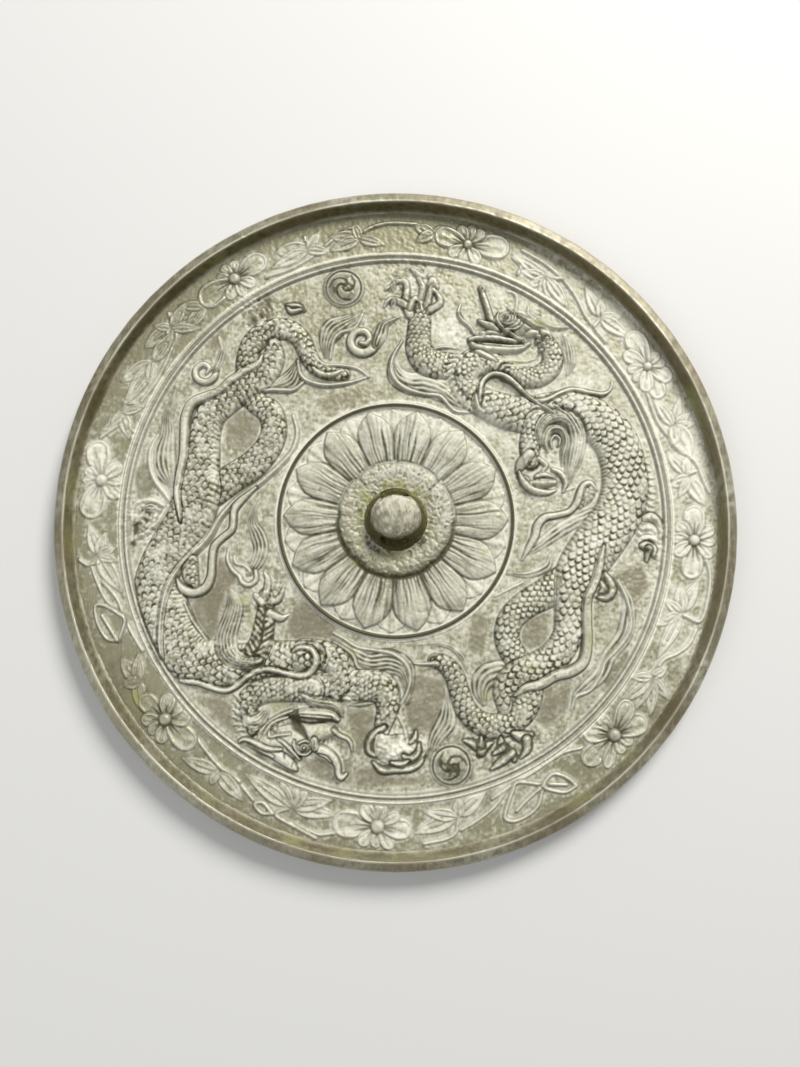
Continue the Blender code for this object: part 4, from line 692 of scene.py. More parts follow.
def layLotus():
    window = windowOf(-41, 41, -41, 41)
    xs, ys = sheetAxis[window[1]][None, :], sheetAxis[window[0]][:, None]
    r = np.hypot(xs, ys)
    tip, ring = lotus["petalTip"], lotus["ring"]
    degrees = np.mod(np.degrees(np.arctan2(ys, xs)), 360)
    petals = np.array(lotus["petals"] + (360 + lotus["petals"][0],), float)
    share = np.interp(degrees, petals, np.arange(len(petals)))
    which, off = np.round(share), share - np.round(share)
    pitch = np.radians(360 / (len(petals) - 1)) * r
    edge = along(r, lotus["petalEdge"])
    t = np.abs(off) / np.maximum(edge, 0.005)
    inside = (t < 1) & (r > lotus["petalFoot"]) & (r < tip)
    # each petal swells towards its tip, and wedge-shaped grooves run out from its foot
    front = lotus["petalRise"] * along(r, lotus["swell"]) * (0.4 + 0.6 * np.clip(1 - t * t, 0, 1) ** 0.6)
    fan = np.zeros_like(r)
    for k, (spot, far) in enumerate(lotus["grooves"]):
        own = np.sin(which * (2.1 + k) + 1.7 * k)
        lean = spot + 0.035 * own + 0.02 * np.sin(r / 1.9 + which + k)
        width = 0.15 + 0.12 * np.clip((25 - r) / 6, 0, 1)
        groove = np.exp(-((off - lean) * pitch / width) ** 2) * np.clip((far + 2.2 * own - r) / 6, 0, 1)
        fan = np.maximum(fan, groove * (0.7 + 0.3 * np.sin(3.1 * which + 2 * k)))
    hatch = np.zeros_like(r)
    for k, middle in enumerate(lotus["hatchRows"]):
        row = np.random.default_rng(31 + k).standard_normal(600)
        row[-1] = row[0]
        hatch += np.interp(degrees, np.linspace(0, 360, 600), row) * np.clip(1 - np.abs(r - middle) / 7, 0, 1)
    front = front - lotus["groovesDeep"] * fan - lotus["hatchDeep"] * hatch
    behind, reach = np.mod(share, 1) - 0.5, along(r, lotus["behind"])
    tb = np.abs(behind) / np.maximum(reach, 0.02)
    back = (0.42 + 0.14 * np.cos(np.pi * 5 * behind / 0.5) + 0.2 * np.clip(1 - tb, 0, 1)) * (tb < 1) * (r > 27)
    line = np.exp(-((t - 1.0) * edge * pitch / 0.32) ** 2) * (r > 19.6) * (r < 36.9)
    bed = np.maximum(np.where(inside, front, back) - 0.35 * line, 0)
    grooved = (along(r, lotus["groovesDark"]) * fan + 0.25 * np.maximum(hatch, 0)) * inside
    dark = np.maximum(along(r, lotus["outlineDark"]) * line, grooved)
    dark = np.maximum(dark, 0.5 * np.exp(-((tb - 1) * reach * pitch / 0.3) ** 2) * ~inside * (r > 28) * (r < 36.9))
    # the seed pod: a round-edged ring with a seam between its lobes, worn and granular
    places, depths = np.array(lotus["seams"], float).T
    gaps = np.abs(np.mod(degrees[..., None] - places + 180, 360) - 180)
    gap, depth = gaps.min(-1), depths[gaps.argmin(-1)]
    lobes = lotus["podReach"] - 1.0 * depth * np.exp(-(gap / 4.5) ** 2)
    pod = lotus["podRise"] * np.clip((lobes - r) / 1.3, 0, 1) ** 0.5 * along(r, lotus["podProfile"])
    seam = depth * np.exp(-(np.radians(gap) * r / 0.4) ** 2) * np.clip((r - 12.5) / 3, 0, 1)
    bed = np.where(r < lobes, pod - lotus["seamDeep"] * seam, bed * np.clip((r - lobes) / 0.5, 0.1, 1))
    rings = np.maximum(1.5 * forms["round"](np.clip(np.abs(r - ring) / 0.6, 0, 1)),
                       0.4 * forms["soft"](np.clip(np.abs(r - lotus["outerRing"]) / 0.4, 0, 1)))
    bed = np.where(r > 36.9, rings, bed)
    # painted shadow round the pod's rounded edge, widest on the side towards -Y
    shaded = 0.4 + 0.6 * np.clip(0.25 - 1.2 * np.sin(np.radians(degrees + 5)), 0, 1)
    podEdgeShadow = np.exp(-np.maximum(lobes - r, 0) / (0.4 + 1.1 * shaded)) * (r < lobes) \
        + np.exp(-((r - lobes) / 0.5) ** 2) * (r >= lobes)
    dark = np.maximum(dark * (r > lobes + 0.2), 0.95 * shaded * podEdgeShadow)
    dark = np.maximum(dark, 0.5 * seam * (r < lobes))
    dark = np.maximum(dark, 0.95 * bell(r, ring, 0.36))
    height[window] = np.where(r < lotus["edge"], bed, height[window])
    creased[window] = np.where(r < lotus["edge"], dark, creased[window])


ringPair = {"inner": 88.0, "outer": 89.9, "rise": 1.15, "between": 0.35}


def layRings():
    r = np.hypot(sheetAxis[None, :], sheetAxis[:, None])
    raised = np.maximum(ringPair["rise"] * forms["round"](np.clip(np.abs(r - ringPair["inner"]) / 0.6, 0, 1)),
                        ringPair["rise"] * forms["round"](np.clip(np.abs(r - ringPair["outer"]) / 0.55, 0, 1)))
    near = (r > 86.9) & (r < 91)
    height[near] = np.maximum(raised[near], np.where(np.abs(r - 89) < 1, ringPair["between"], 0)[near])
    # darker lines between the two rings and at the inner ring's foot
    ringGrooveDark = np.maximum(0.55 * bell(r, 88.9, 0.35), 0.45 * bell(r, 87.2, 0.3))
    creased[near] = ringGrooveDark[near]


# Round the outer band: each blossom has its place, its eye and its petals as direction, reach and half width.
band = {
    "inner": 91,
    "outer": 106,
    "floor": 0.12,
    "fullness": {"leaf": 1.45, "petal": 1.3},
    "blossoms": (
        (31.5, 98.2, 1.4, ((-12, 10, 2.4), (30, 7.4, 2.2), (75, 5.4, 1.3), (110, 5.4, 1.3), (172, 11, 3),
            (208, 7.6, 2), (250, 6, 1.3), (285, 6, 1.3), (322, 7.4, 1.9))),
        (75.5, 96.8, 1.5, ((8, 11.6, 3.4), (55, 6.4, 1.5), (90, 6.2, 1.3), (125, 6, 1.5), (175, 9.6, 2.8),
            (225, 6.4, 1.6), (268, 5.8, 1.4), (312, 6.6, 1.6))),
        (123.7, 98, 1.9, ((4, 10.6, 3), (60, 5.6, 1.3), (100, 5.4, 1.3), (140, 5.2, 1.2), (184, 11.6, 3.4),
            (226, 6.4, 1.6), (268, 6.2, 1.4), (312, 6.4, 1.6))),
        (172.4, 97.4, 1.9, ((16, 11, 3.2), (62, 5.8, 1.4), (98, 5.4, 1.2), (136, 5.8, 1.5), (170, 10.4, 3.4),
            (232, 7, 1.7), (276, 6, 1.4), (318, 7, 1.8))),
        (221.1, 97.4, 2.0, ((6, 9, 2.4), (50, 6.4, 1.7), (90, 5.8, 1.4), (130, 6.4, 1.7), (186, 10.6, 3),
            (232, 6.6, 2), (272, 6, 1.5), (312, 6.8, 2))),
        (266.6, 97.3, 2.1, ((-2, 11.6, 3.4), (48, 6.8, 1.7), (88, 5.6, 1.4), (128, 7, 1.7), (178, 9, 2.6),
            (214, 7, 1.5), (262, 6, 1.7), (308, 7, 1.8))),
        (315.2, 97.9, 2.0, ((-4, 11.4, 2.8), (30, 9.6, 1.6), (70, 5.4, 1.4), (112, 5.4, 1.4), (160, 9.6, 2.8),
            (200, 10.4, 2.4), (262, 6.6, 1.7), (312, 8.4, 2.2))),
        (356, 97.4, 1.8, ((-4, 10.8, 2.8), (48, 6.8, 1.6), (88, 6, 1.3), (128, 6.8, 1.6), (182, 9.4, 2.8),
            (228, 6.8, 1.7), (268, 6.2, 1.5), (310, 6.8, 1.8))),
    ),
    "sprays": (
        (18.5, 96.8, ((23.1, 102.2, 1.1), (20, 103.2, 1.0), (18, 103.4, 1.0), (24.9, 94.8, 1.4), (12.8, 99, 2.6),
            (15.6, 95.6, 1.3))),
        (9.1, 96.4, ((13.4, 92.4, 1.4), (11.8, 97.6, 1.1))),
        (8.0, 97, ((3.2, 100.7, 1.8), (7.2, 91.5, 1.4), (5, 93.4, 1.1))),
        (44.8, 96.6, ((50.4, 100.8, 1.5), (47, 101, 1.2), (42.4, 101.4, 1.3), (38.8, 98.8, 1.7))),
        (58.2, 96.3, ((65.6, 98.2, 1.4), (63, 94.4, 1.3), (60.5, 91, 1.1), (58, 91.2, 1.0), (55.8, 91, 1.1),
            (52, 92.4, 1.5))),
        (82.8, 98.4, ((86, 100.2, 1.4), (79.6, 101, 1.2), (85.4, 95.4, 1.3))),
        (97.4, 96.6, ((102.6, 98.6, 1.6), (103, 94.2, 1.5), (93, 94, 1.3), (98, 101.6, 1.1))),
        (108, 96.4, ((113.4, 99.2, 2.2), (115.2, 95, 1.6), (105.2, 101, 1.2), (104.4, 94.2, 1.3))),
        (131.8, 96.4, ((137.2, 99.6, 1.4), (137.6, 94.6, 1.5), (135, 102, 1.2))),
        (139.4, 99, ((144.8, 101.4, 1.9), (141, 103.4, 1.1), (134.4, 101.4, 1.3), (141.8, 94.6, 1.4),
            (136, 92.6, 1.2))),
        (146.8, 96.5, ((152.6, 101.6, 1.9), (156.2, 97.4, 1.7), (151, 93.6, 1.3), (140.4, 97.4, 1.6))),
        (158.6, 97.2, ((162.6, 92.4, 1.4), (161.4, 98.8, 1.1), (156, 92, 1.0))),
        (187, 97.4, ((194.1, 92.2, 1.9), (181.6, 99.8, 1.4), (183, 95, 1.2), (185.9, 92.2, 1.1),
            (188.4, 91.8, 1.0))),
        (212.4, 97.4, ((216.4, 101.2, 1.5), (207.6, 98.6, 1.7), (208.2, 93.6, 1.4), (211.6, 101.4, 1.3))),
        (235, 98, ((241, 101, 1.6), (229, 101.4, 1.5), (235.2, 102, 1.0))),
        (250.2, 97, ((258.2, 95.4, 1.6), (256.6, 91.8, 1.5), (252, 91, 1.2), (249.8, 90.8, 1.2), (246.8, 91.4, 1.2),
            (240.6, 94, 1.7))),
        (281.7, 96.1, ((287.6, 91.2, 1.6), (282.6, 91.4, 1.3), (274.2, 99, 1.6), (276, 93.2, 1.4))),
        (341.6, 96.9, ((348, 99.8, 1.5), (346.6, 94.6, 1.5), (343.2, 91.4, 1.2), (338, 91, 1.2), (333, 95.2, 1.5))),
        (328.2, 96.4, ((331, 99, 1.1), (326.6, 103.6, 1.2), (322.8, 102, 1.5), (321.6, 97.4, 1.3), (321.2, 93, 1.5),
            (326.2, 91.2, 1.1))),
    ),
    "hearts": (
        ((203.9, 97.3), (202.4, 100.6), (199, 101.6), (196.2, 100.8), (196.6, 98), (198.8, 94.6), (200.6, 93.2),
            (203.9, 97.3)),
        ((203.6, 97.6), (200.6, 98.6), (198.2, 99.6)),
        ((298.9, 96.2), (296, 101.4), (292, 102.6), (290, 100.8), (290.8, 98), (293, 94), (294.8, 92),
            (298.9, 96.2)),
        ((298.4, 96.6), (295, 98), (292.4, 99.8)),
        ((304, 102), (301.6, 101.6), (299, 97.6), (299.2, 96), (301.6, 95), (303.4, 98.4), (304, 102)),
        ((302.6, 100), (300, 97)),
        ((247.4, 100.8), (245.6, 102), (243.8, 100.6), (245, 99), (247.4, 100.8)),
    ),
    "vines": (
        ((27, 93.5), (23.7, 92.5), (20.2, 92.5), (17, 94), (15, 95.2), (12.9, 98), (10.6, 100.5), (7.6, 101.6),
            (5, 103)),
        ((9.2, 99.6), (8.8, 96), (8.4, 91.6)),
        ((65, 101), (60, 100.3), (55.3, 98.8), (50.9, 96.3), (47.7, 93.8), (43.9, 92.5), (40.4, 92)),
        ((58.2, 96.3), (55.6, 98.8)),
        ((44.7, 96.5), (44.5, 93)),
        ((66, 97.3), (64, 95.8), (63.7, 92.8)),
        ((97, 98.2), (94.4, 100.2), (91, 101.2), (86, 101)),
        ((81.2, 101), (80.8, 95.8)),
        ((118, 93), (113, 92), (108, 93.4), (104, 96.4), (101, 99.4), (97.4, 101)),
        ((107.8, 101), (108, 96.4)),
        ((164.4, 101), (161.3, 97), (160.2, 95.4), (161.4, 91.4)),
        ((156.6, 98), (155.8, 92)),
        ((155, 93), (150, 92), (144, 93.4), (140, 96.4), (138.6, 100), (137.6, 103)),
        ((207.5, 91.6), (203.7, 92.4), (200.2, 93), (198.2, 95), (195, 97.4), (191.1, 99), (188.8, 99.8),
            (188.4, 101.4), (187.4, 103.4)),
        ((188.4, 99.6), (188.4, 97.4)),
        ((200, 93), (196, 93.6), (192, 97)),
        ((259.2, 100.8), (256, 102.4), (252.8, 101.8), (249, 101), (247.6, 100.8)),
        ((256, 103.6), (252, 102.2), (248, 100.8), (249.8, 97.4)),
        ((243.8, 100), (240, 97.4)),
        ((239.4, 96.8), (235, 96.4), (231, 95.2), (227.4, 94)),
        ((309.2, 94), (305.7, 91.4), (302.8, 91), (297.5, 91.4), (293.1, 92), (289, 96), (285, 98.6),
            (281.8, 100.2)),
        ((281.7, 96.1), (280.9, 100.4), (279, 102), (275, 102.6)),
        ((293, 92), (289, 93.6)),
        ((352.7, 101.4), (349.8, 103.4), (345.4, 104), (341.4, 103.4), (341.4, 99), (341.6, 97)),
        ((339.6, 103), (336.7, 102.4), (334.3, 100), (332, 97), (328.4, 96.6)),
    ),
}


def layBand():
    r = np.hypot(sheetAxis[None, :], sheetAxis[:, None])
    inBand = (r > band["inner"]) & (r < band["outer"])
    height[inBand], creased[inBand] = band["floor"], 0
    for vine in band["vines"]:
        lay(around([(a, reach, 0.6, 0.9) for a, reach in vine]), moat=0.5, crease=0.6)
    for angle, reach, tips in band["sprays"]:
        for tipAngle, tipReach, wide in tips:
            wide *= band["fullness"]["leaf"]
            foot, tip = (np.array(end) for end in around([(angle, reach), (tipAngle, tipReach)]))
            spot = [tuple(foot + (tip - foot) * share) for share in (0.02, 0.35, 0.68, 1.12)]
            lay([(*spot[0], 0.3, 0.7), (*spot[1], wide, 0.85), (*spot[2], wide * 0.85, 0.85), (*spot[3], 0.15, 0.6)],
                form="leaf", moat=0.5, crease=0.75)
            lay([(*spot[0], 0.2, 0.8), (*spot[2], 0.2, 1.0)], form="keel", moat=0.4, crease=0.5, lift=0.8)
    for angle, reach, eye, petals in band["blossoms"]:
        out = np.array(around([(angle, 1.0)])[0])
        across = np.array([out[1], -out[0]])
        centre = out * reach

        def headed(direction):
            c, s = math.cos(math.radians(direction)), math.sin(math.radians(direction))
            return across * c + out * s

        for direction, length, wide in petals:
            heading, wide = headed(direction), wide * band["fullness"]["petal"]
            spot = [centre + heading * d for d in (eye * 0.8, eye + (length - eye) * 0.45, length * 0.82, length)]
            lay([(*spot[0], wide * 0.3, 0.8), (*spot[1], wide * 0.85, 0.95), (*spot[2], wide, 0.95),
                 (*spot[3], wide * 0.5, 0.8)], form="leaf", moat=0.5, deep=0.8, lift=0.15)
            for bend in ((-16, 0, 16) if wide > 2.6 else (0,)):
                near, far = (centre + headed(direction + bend) * d for d in (eye + 0.3, length * 0.66))
                carve([(*near, 0.35), (*((near + far) / 2), 0.34), (*far, 0.12)], 0.5, crease=0.7)
        dome(*centre, eye, eye, 1.5, form="round", lift=0, moat=0.5, deep=0.9)
    for heart in band["hearts"]:
        lay(around([(a, reach, 0.6, 1.0) for a, reach in heart]), moat=0.5, crease=0.7)
    height[r > 105.3] = 0


for stage in (layEast, layWest, layBand, layRings, layLotus):
    stage()

print("weathering the surface")


def patch(places):
    # soft-edged ovals: x, y, half length, half width, turn in degrees, strength
    total = np.zeros_like(height)
    for x, y, wide, tall, turn, strength in places:
        c, s = math.cos(math.radians(turn)), math.sin(math.radians(turn))
        px, py = sheetAxis[None, :] - x, sheetAxis[:, None] - y
        t = ((px * c + py * s) / wide) ** 2 + ((py * c - px * s) / tall) ** 2
        total = np.maximum(total, strength * np.exp(-t))
    return total


def filled(outlines, soft):
    # outlines filled in and feathered
    total = np.zeros_like(height)
    for points in outlines:
        xs, ys = zip(*points)
        window = windowOf(min(xs) - 1, max(xs) + 1, min(ys) - 1, max(ys) + 1)
        px, py = sheetAxis[window[1]][None, :], sheetAxis[window[0]][:, None]
        odd = np.zeros((py.size, px.size), bool)
        for (xa, ya), (xb, yb) in zip(points, points[1:] + points[:1]):
            if ya != yb:
                odd ^= (py >= min(ya, yb)) & (py < max(ya, yb)) & (px < xa + (py - ya) * (xb - xa) / (yb - ya))
        total[window] = np.maximum(total[window], odd)
    return softened(total, soft)


weather = {
    "grain": 0.04,
    "pits": 0.06,
    "swell": 0.05,
    "pale": (
        (17, 64, 6, 5, 0, 1.0), (31, 32, 8, 3.4, -38, 1.0), (62, 24, 4, 5, 0, .9), (36, 76, 3, 3, 0, .6),
        (63, 46, 5, 2.4, 0, .7), (12, 46, 20, 3, -10, .25), (84, -6, 2.4, 7, 8, .9), (1, -74, 7, 5, 0, 1.0),
        (80, 74, 10, 8, -45, .8), (98, 20, 6, 22, 0, .55), (94, -38, 6, 22, 22, .45), (-97, 15, 6, 16, 0, .6),
        (-36, -76, 6, 2.5, -25, .6), (-22, -72, 5, 3, 0, .5), (14, 15, 4, 3, 20, .5), (-62, -30, 26, 40, 0, .16),
        (-30, -50, 24, 10, 0, .16), (45, 40, 22, 16, -35, .32), (76, 0, 10, 36, 0, .24),
        (40, 53.6, 7.5, 2.2, 0, .5), (-78, 8, 10, 30, 0, .28), (-60, -48, 18, 20, 45, .3),
        (45.4, 62.4, 2.4, 1.3, 12, 1.0), (4, 29, 20, 7, -8, .3), (-76, -10, 12, 30, 0, .15),
        (-41, -59.4, 4, 1.6, 5, .9), (-75, -15, 9, 24, -6, .42), (-63, 28, 7, 15, 0, .42),
        (-64, -42, 12, 6, -40, .25), (-23, -52, 14, 4, 0, .35), (63, -8, 8, 11, -40, .42), (75, 12, 7, 12, 0, .25),
        (55, -32, 4, 10, 0, .2), (28, 45, 8, 7, 0, .42), (-30, -69, 11, 8, 0, .3), (84, 50, 8, 8, 0, .45),
        (0, -97, 11, 6, 0, .3), (36, 60, 9, 4, 0, .25),
    ),
    "bare": (
        ((-60, -13), (-52, -13), (-51, -20), (-55, -23), (-57, -29), (-58, -38), (-60, -40), (-64, -35), (-66, -28),
         (-63, -24), (-59, -22)),
        ((-33, -28), (-28, -26), (-20, -34), (-19, -38), (-33, -39), (-35, -34)),
        ((-60, -57), (-54, -58), (-50, -62), (-50, -69), (-55, -66), (-62, -58)),
        ((-30, -77), (-22, -76), (-19, -79), (-14, -77), (-14, -84), (-24, -83)),
        ((-16, -61), (-8, -61), (-5, -65), (-9, -71), (-12, -76), (-14, -68)),
        ((-13, -80), (-7, -79), (-4, -82), (10, -82), (12, -84), (-12, -85)),
        ((4, -50), (15, -52), (16, -56), (12, -68), (4, -67), (3, -60)),
        ((-84, 4), (-80, 6), (-78, 14), (-82, 20), (-86, 16)),
        ((-56, 24), (-47, 24), (-45, 32), (-50, 37), (-56, 35)),
        ((41, -32), (49, -30), (49, -42), (40, -41)),
        ((46, -58), (56, -52), (55, -60), (48, -67), (44, -64)),
        ((66, -52), (74, -42), (76, -46), (68, -57)),
        ((25, -30), (30, -32), (28, -44), (23, -42)),
        ((-34, 62), (-33, 56), (-30, 60)),
        ((-45, 66), (-40, 67), (-42, 76), (-48, 72)),
        ((8, 46), (14, 45), (16, 42), (6, 43)),
        ((70, -18), (80, -14), (82, -22), (76, -30), (74, -22)),
        ((-68, 66), (-60, 56), (-56, 62), (-62, 68)),
        ((-26, 40), (-12, 44), (-10, 41), (-24, 36)),
    ),
    # darker patches, most on the band: dirt, and painted shadow of the rim on the band's side towards +Y
    "dirtAndRimShadow": (
        (0, 99, 42, 9, 0, 1.15), (-70, 70, 30, 9, 45, .9), (-76, -62, 9, 24, 45, .8), (-5, 68, 30, 16, 0, .2),
        (70, -68, 26, 9, 45, .65),
    ),
    "rough": (
        (2, -73.4, 8, 6, 0, 1.0), (32, -73, 13, 5, 0, .7), (83, -6, 4, 9, 6, .9), (-83, 0, 6, 8, 0, .9),
        (6, 77, 11, 9, 0, .5), (67.8, -22, 4, 5, 0, .7), (46, 15, 9, 9, 0, .4), (34, 64, 16, 11, 0, .28),
        (-30, -69, 18, 12, 0, .28), (-41, -26, 7, 8, 0, .5), (-46, 70, 5, 8, 60, .8), (-45, -30, 8, 16, 0, .3),
    ),
    # dark patches: soot and dirt, with painted shade at the mouths
    "sootAndShade": (
        (-58, -29, 5, 9, 0, .1), (-26, -33, 7, 5, 0, .16), (29.6, 73.4, 5, 1.3, -72, .45),
        (30, 66.4, 3.4, 1.6, -20, .3), (36, 58.8, 7, 1.2, -4, .35), (26, 58.4, 2, 2, 0, .3),
        (36, 63.2, 4.4, 2, -28, .45), (21.6, 69, 1, 3.4, 20, .35), (-17.6, 78.4, 4.6, 4.6, 0, .65),
        (17.6, -78.4, 4.6, 4.6, 0, .8), (-31, -65, 4.2, 2.2, -65, .22), (5, -75, 2.6, 1.2, 30, .5),
        (-8, -72, 1.2, 3, 10, .5), (-4, -79.4, 4, 1, -6, .5), (0, -69.6, 1.4, 1, 0, .6), (2, 75, 3, 3, 0, .25),
        (11, 75, 3, 4, 0, .25), (41, 17, 3, 4, 0, .3), (50, 12.5, 4, 2, 0, .35), (27, -72.6, 3, 1.6, -30, .4),
        (35, -74, 3, 2, -40, .35), (41, -71, 2, 2, 0, .35), (82.2, -10.8, 1.6, 2.2, 0, .7), (84, -2, 1.8, 3, 0, .3),
        (68.6, -23, 2.2, 2.6, 0, .4), (-84.6, -2.8, 1.5, 2, 0, .9), (-81.4, .5, 1.6, .9, 0, .9),
        (-85.4, -8, .9, .8, 0, .9), (-42, 74, 1.6, 2, 0, .4), (-47.5, 68, 1.8, 2.2, 0, .8),
        (78, 14, 2.5, 14, 12, .22), (-36, -60, 3, 2, 20, .1),
    ),
    "green": (
        (40, 53.4, 8, 2.6, 0, .35), (67, -36, 3.4, 8, 10, .3), (-23, -68, 6, 3, -10, .25),
        (0, 11.4, 8, 1.8, 0, 1.1), (-9.6, 6.4, 6, 2, 120, 1.1), (8, 8.6, 5, 1.8, -45, 1.0),
        (-11.4, -3, 2, 6, 0, .8), (11.4, -2, 1.4, 6, 0, .5), (0, -11.6, 8, 1.4, 0, .5), (40, 54, 7, 2, 0, .45),
        (47.6, 65.6, 2.6, 1.2, 0, 1.0), (-38, -59.4, 4, 2, 0, .9), (-47, -31, 1.6, 6, 10, .7),
        (-50, -26, 4, 1.8, 30, .5), (-22, -68, 5, 1.6, -10, .6), (-14, -69, 3, 1.4, -30, .5),
        (62, -38, 1.5, 8, 0, .5), (30, -56, 4, 3, 30, .45), (-14, -43, 3, 1.4, -40, .5), (-83, -57, 2, 4, 20, .9),
        (43, -48, 4, 2, 0, .3), (-14, -14, 1.6, 3, 45, .6), (-20, -12, 3, 1.2, 20, .4),
    ),
    "brown": (
        (-57, -26, 5, 13, 8, .5), (-30, -32, 7, 5, 0, .2), (42, 14, 3, 5, 0, .3), (-86, -50, 11, 5, 118, 0.9),
        (-8, -20, 3, 2, 0, .4), (0, -7, 8, 3, 0, .5), (-38, -24, 4, 1.4, 45, .5), (-12, 97, 10, 4, 0, 0.4),
        (70, -26, 2, 4, -20, .5), (-43, 74, 2, 2, 0, .7), (-47.5, 68, 2, 2, 0, .7),
    ),
}

dirtAndShadeShare = {
    "crease": 1.75,
    "halo": 0.35,
    "steep": 0.4,
    "speck": 0.1,
    "sootAndShade": 1.5,
    "pod": 0.2,
    "dirtAndRimShadow": 0.13,
}
powderAndLightShare = {
    "all": 0.27,
    "foot": 0.78,
    "thick": 0.55,
    "raised": 0.1,
    "hollow": 2.0,
    "fine": 0.13,
    "finePod": 0.12,
    "mid": 0.07,
    "broad": 0.04,
    "east": 0.07,
    "petals": 0.07,
    "dirtAndRimShadow": 0.55,
}

fineGrain, midGrain, broadGrain = grain(0.22, 3), grain(0.9, 5), grain(4.5, 7)
r = np.hypot(sheetAxis[None, :], sheetAxis[:, None])
bearing = np.arctan2(sheetAxis[:, None], sheetAxis[None, :])
east = sheetAxis[None, :]
inPod, onPod = ramp(r, 19.5, -1), ramp(r, 19.5, -1.5) * ramp(r, 11, 1.5)
onPetals, inBand = ramp(r, 19.5, 1) * ramp(r, 37, -1), ramp(r, 90.4, 0.8)

# crust blurs the forms where the casting is rough
relief = softened(height, 0.12)
scurf = patch(weather["rough"]) + 0.12 * softened(scaled, 0.2) + 0.4 * (r < 19)
relief = relief + (softened(height, 0.5) - relief) * np.clip(0.7 * scurf, 0, 1)
surface = relief + weather["grain"] * fineGrain - weather["pits"] * np.clip(midGrain - 1.2, 0, 2) \
    + weather["swell"] * 0.4 * broadGrain + scurf * (0.17 * fineGrain + 0.15 * midGrain)
cavity = softened(relief, 0.45) - relief
slope = np.hypot(*np.gradient(softened(surface, 0.15), sheetSpec["cell"]))
raised = ramp(relief, 0.2, 0.4)
# white powder lies along the foot of the relief, thickest in the last millimetre
foot = np.clip(2.3 * softened(raised, 0.75) - 0.15, 0, 1) * (1 - raised)
thick, dirtAndRimShadow = patch(weather["pale"]), patch(weather["dirtAndRimShadow"])

# the dark marks: dirt with painted shade in the creases and round them, painted shade on steep sides, dark patches
# that are partly painted shade, and a collar round the knob
sootAndShadePatches = patch(weather["sootAndShade"]) * np.clip(0.8 + 0.4 * midGrain + 0.25 * fineGrain, 0, 1.4)
# a dark collar of dirt round the knob, darker towards -Y as the knob's painted shadow
collarDirtAndShadow = bell(r, 11.2, 1.5) * np.clip(0.36 - 0.12 * np.sin(bearing) + 0.25 * fineGrain + 0.16 * midGrain, 0, 1)
ink = dirtAndShadeShare["crease"] * softened(creased, 0.1) + dirtAndShadeShare["halo"] * softened(creased, 0.5) + collarDirtAndShadow \
    + dirtAndShadeShare["steep"] * ramp(slope, 0.8, 1.1) + dirtAndShadeShare["speck"] * fineGrain * raised \
    + dirtAndShadeShare["sootAndShade"] * sootAndShadePatches + dirtAndShadeShare["pod"] * inPod * (fineGrain + 0.4 * midGrain)
ink = ink * (1 + scaled * np.clip(-0.12 - 0.18 * fineGrain, -0.5, 0.4))
ink = ink + scurf * np.clip(-0.25 * fineGrain - 0.25 * midGrain, 0, 1)
# the dark marks fainter in the pale patches and towards +X, the latter partly as painted light
ink = ink * (1 - 0.55 * thick) * (1 - 0.2 * ramp(east, 0, 70) * (r < 87))
# darker where dirt and the rim's painted shadow lie
ink = np.clip(ink + dirtAndShadeShare["dirtAndRimShadow"] * dirtAndRimShadow, 0, 1)

worn = filled(weather["bare"], 0.7) + 0.14 * midGrain + 0.1 * fineGrain
bare = np.clip((worn - 0.35) * 1.8, 0, 0.9) * (1 - raised) * np.clip(1 - 1.2 * foot, 0, 1)

scour = 0.5 + 0.5 * np.clip(0.3 * midGrain + 0.5 * broadGrain, -1, 1)
# pale powder in the hollows and along the feet, with painted light: paler towards +X and on the pod towards +X+Y,
# darker on the pod towards -X-Y and on the band's floor, most towards -X-Y, as painted shade and dirt
powder = powderAndLightShare["all"] + powderAndLightShare["foot"] * foot * (0.65 + 0.35 * scour) + powderAndLightShare["thick"] * thick \
    + powderAndLightShare["raised"] * raised + powderAndLightShare["hollow"] * np.maximum(cavity, 0) \
    + (powderAndLightShare["fine"] + powderAndLightShare["finePod"] * inPod) * fineGrain \
    + powderAndLightShare["mid"] * midGrain + powderAndLightShare["broad"] * broadGrain \
    + powderAndLightShare["east"] * ramp(east, 0, 60) + powderAndLightShare["petals"] * onPetals - powderAndLightShare["dirtAndRimShadow"] * dirtAndRimShadow \
    + scaled * (0.13 * fineGrain + 0.04 * midGrain - 0.06) + scurf * (0.1 + 0.16 * fineGrain) \
    + onPod * (0.2 * np.cos(bearing - 1.05) - 0.04) \
    - inBand * (0.2 - 0.12 * np.cos(bearing - 0.5) - 0.22 * raised)
powder = np.clip(powder, 0, 1) * (1 - 0.85 * bare) + bare * (0.06 + 0.14 * fineGrain + 0.1 * midGrain)

# the marks: pale powder with some painted light, dark dirt with painted shade, bare metal, raised edges lightened as
# wear and painted highlight, and green and brown crusts
marks = {
    "powder": np.clip(powder, 0, 1),
    "ink": ink,
    "bare": bare,
    "rub": np.clip(8.5 * np.maximum(relief - softened(relief, 0.32), 0), 0, 1),
    "green": np.clip(patch(weather["green"]) * (0.8 + 0.4 * midGrain + 0.2 * fineGrain), 0, 1),
    "brown": np.clip(patch(weather["brown"]) * (0.85 + 0.3 * midGrain), 0, 1),
}


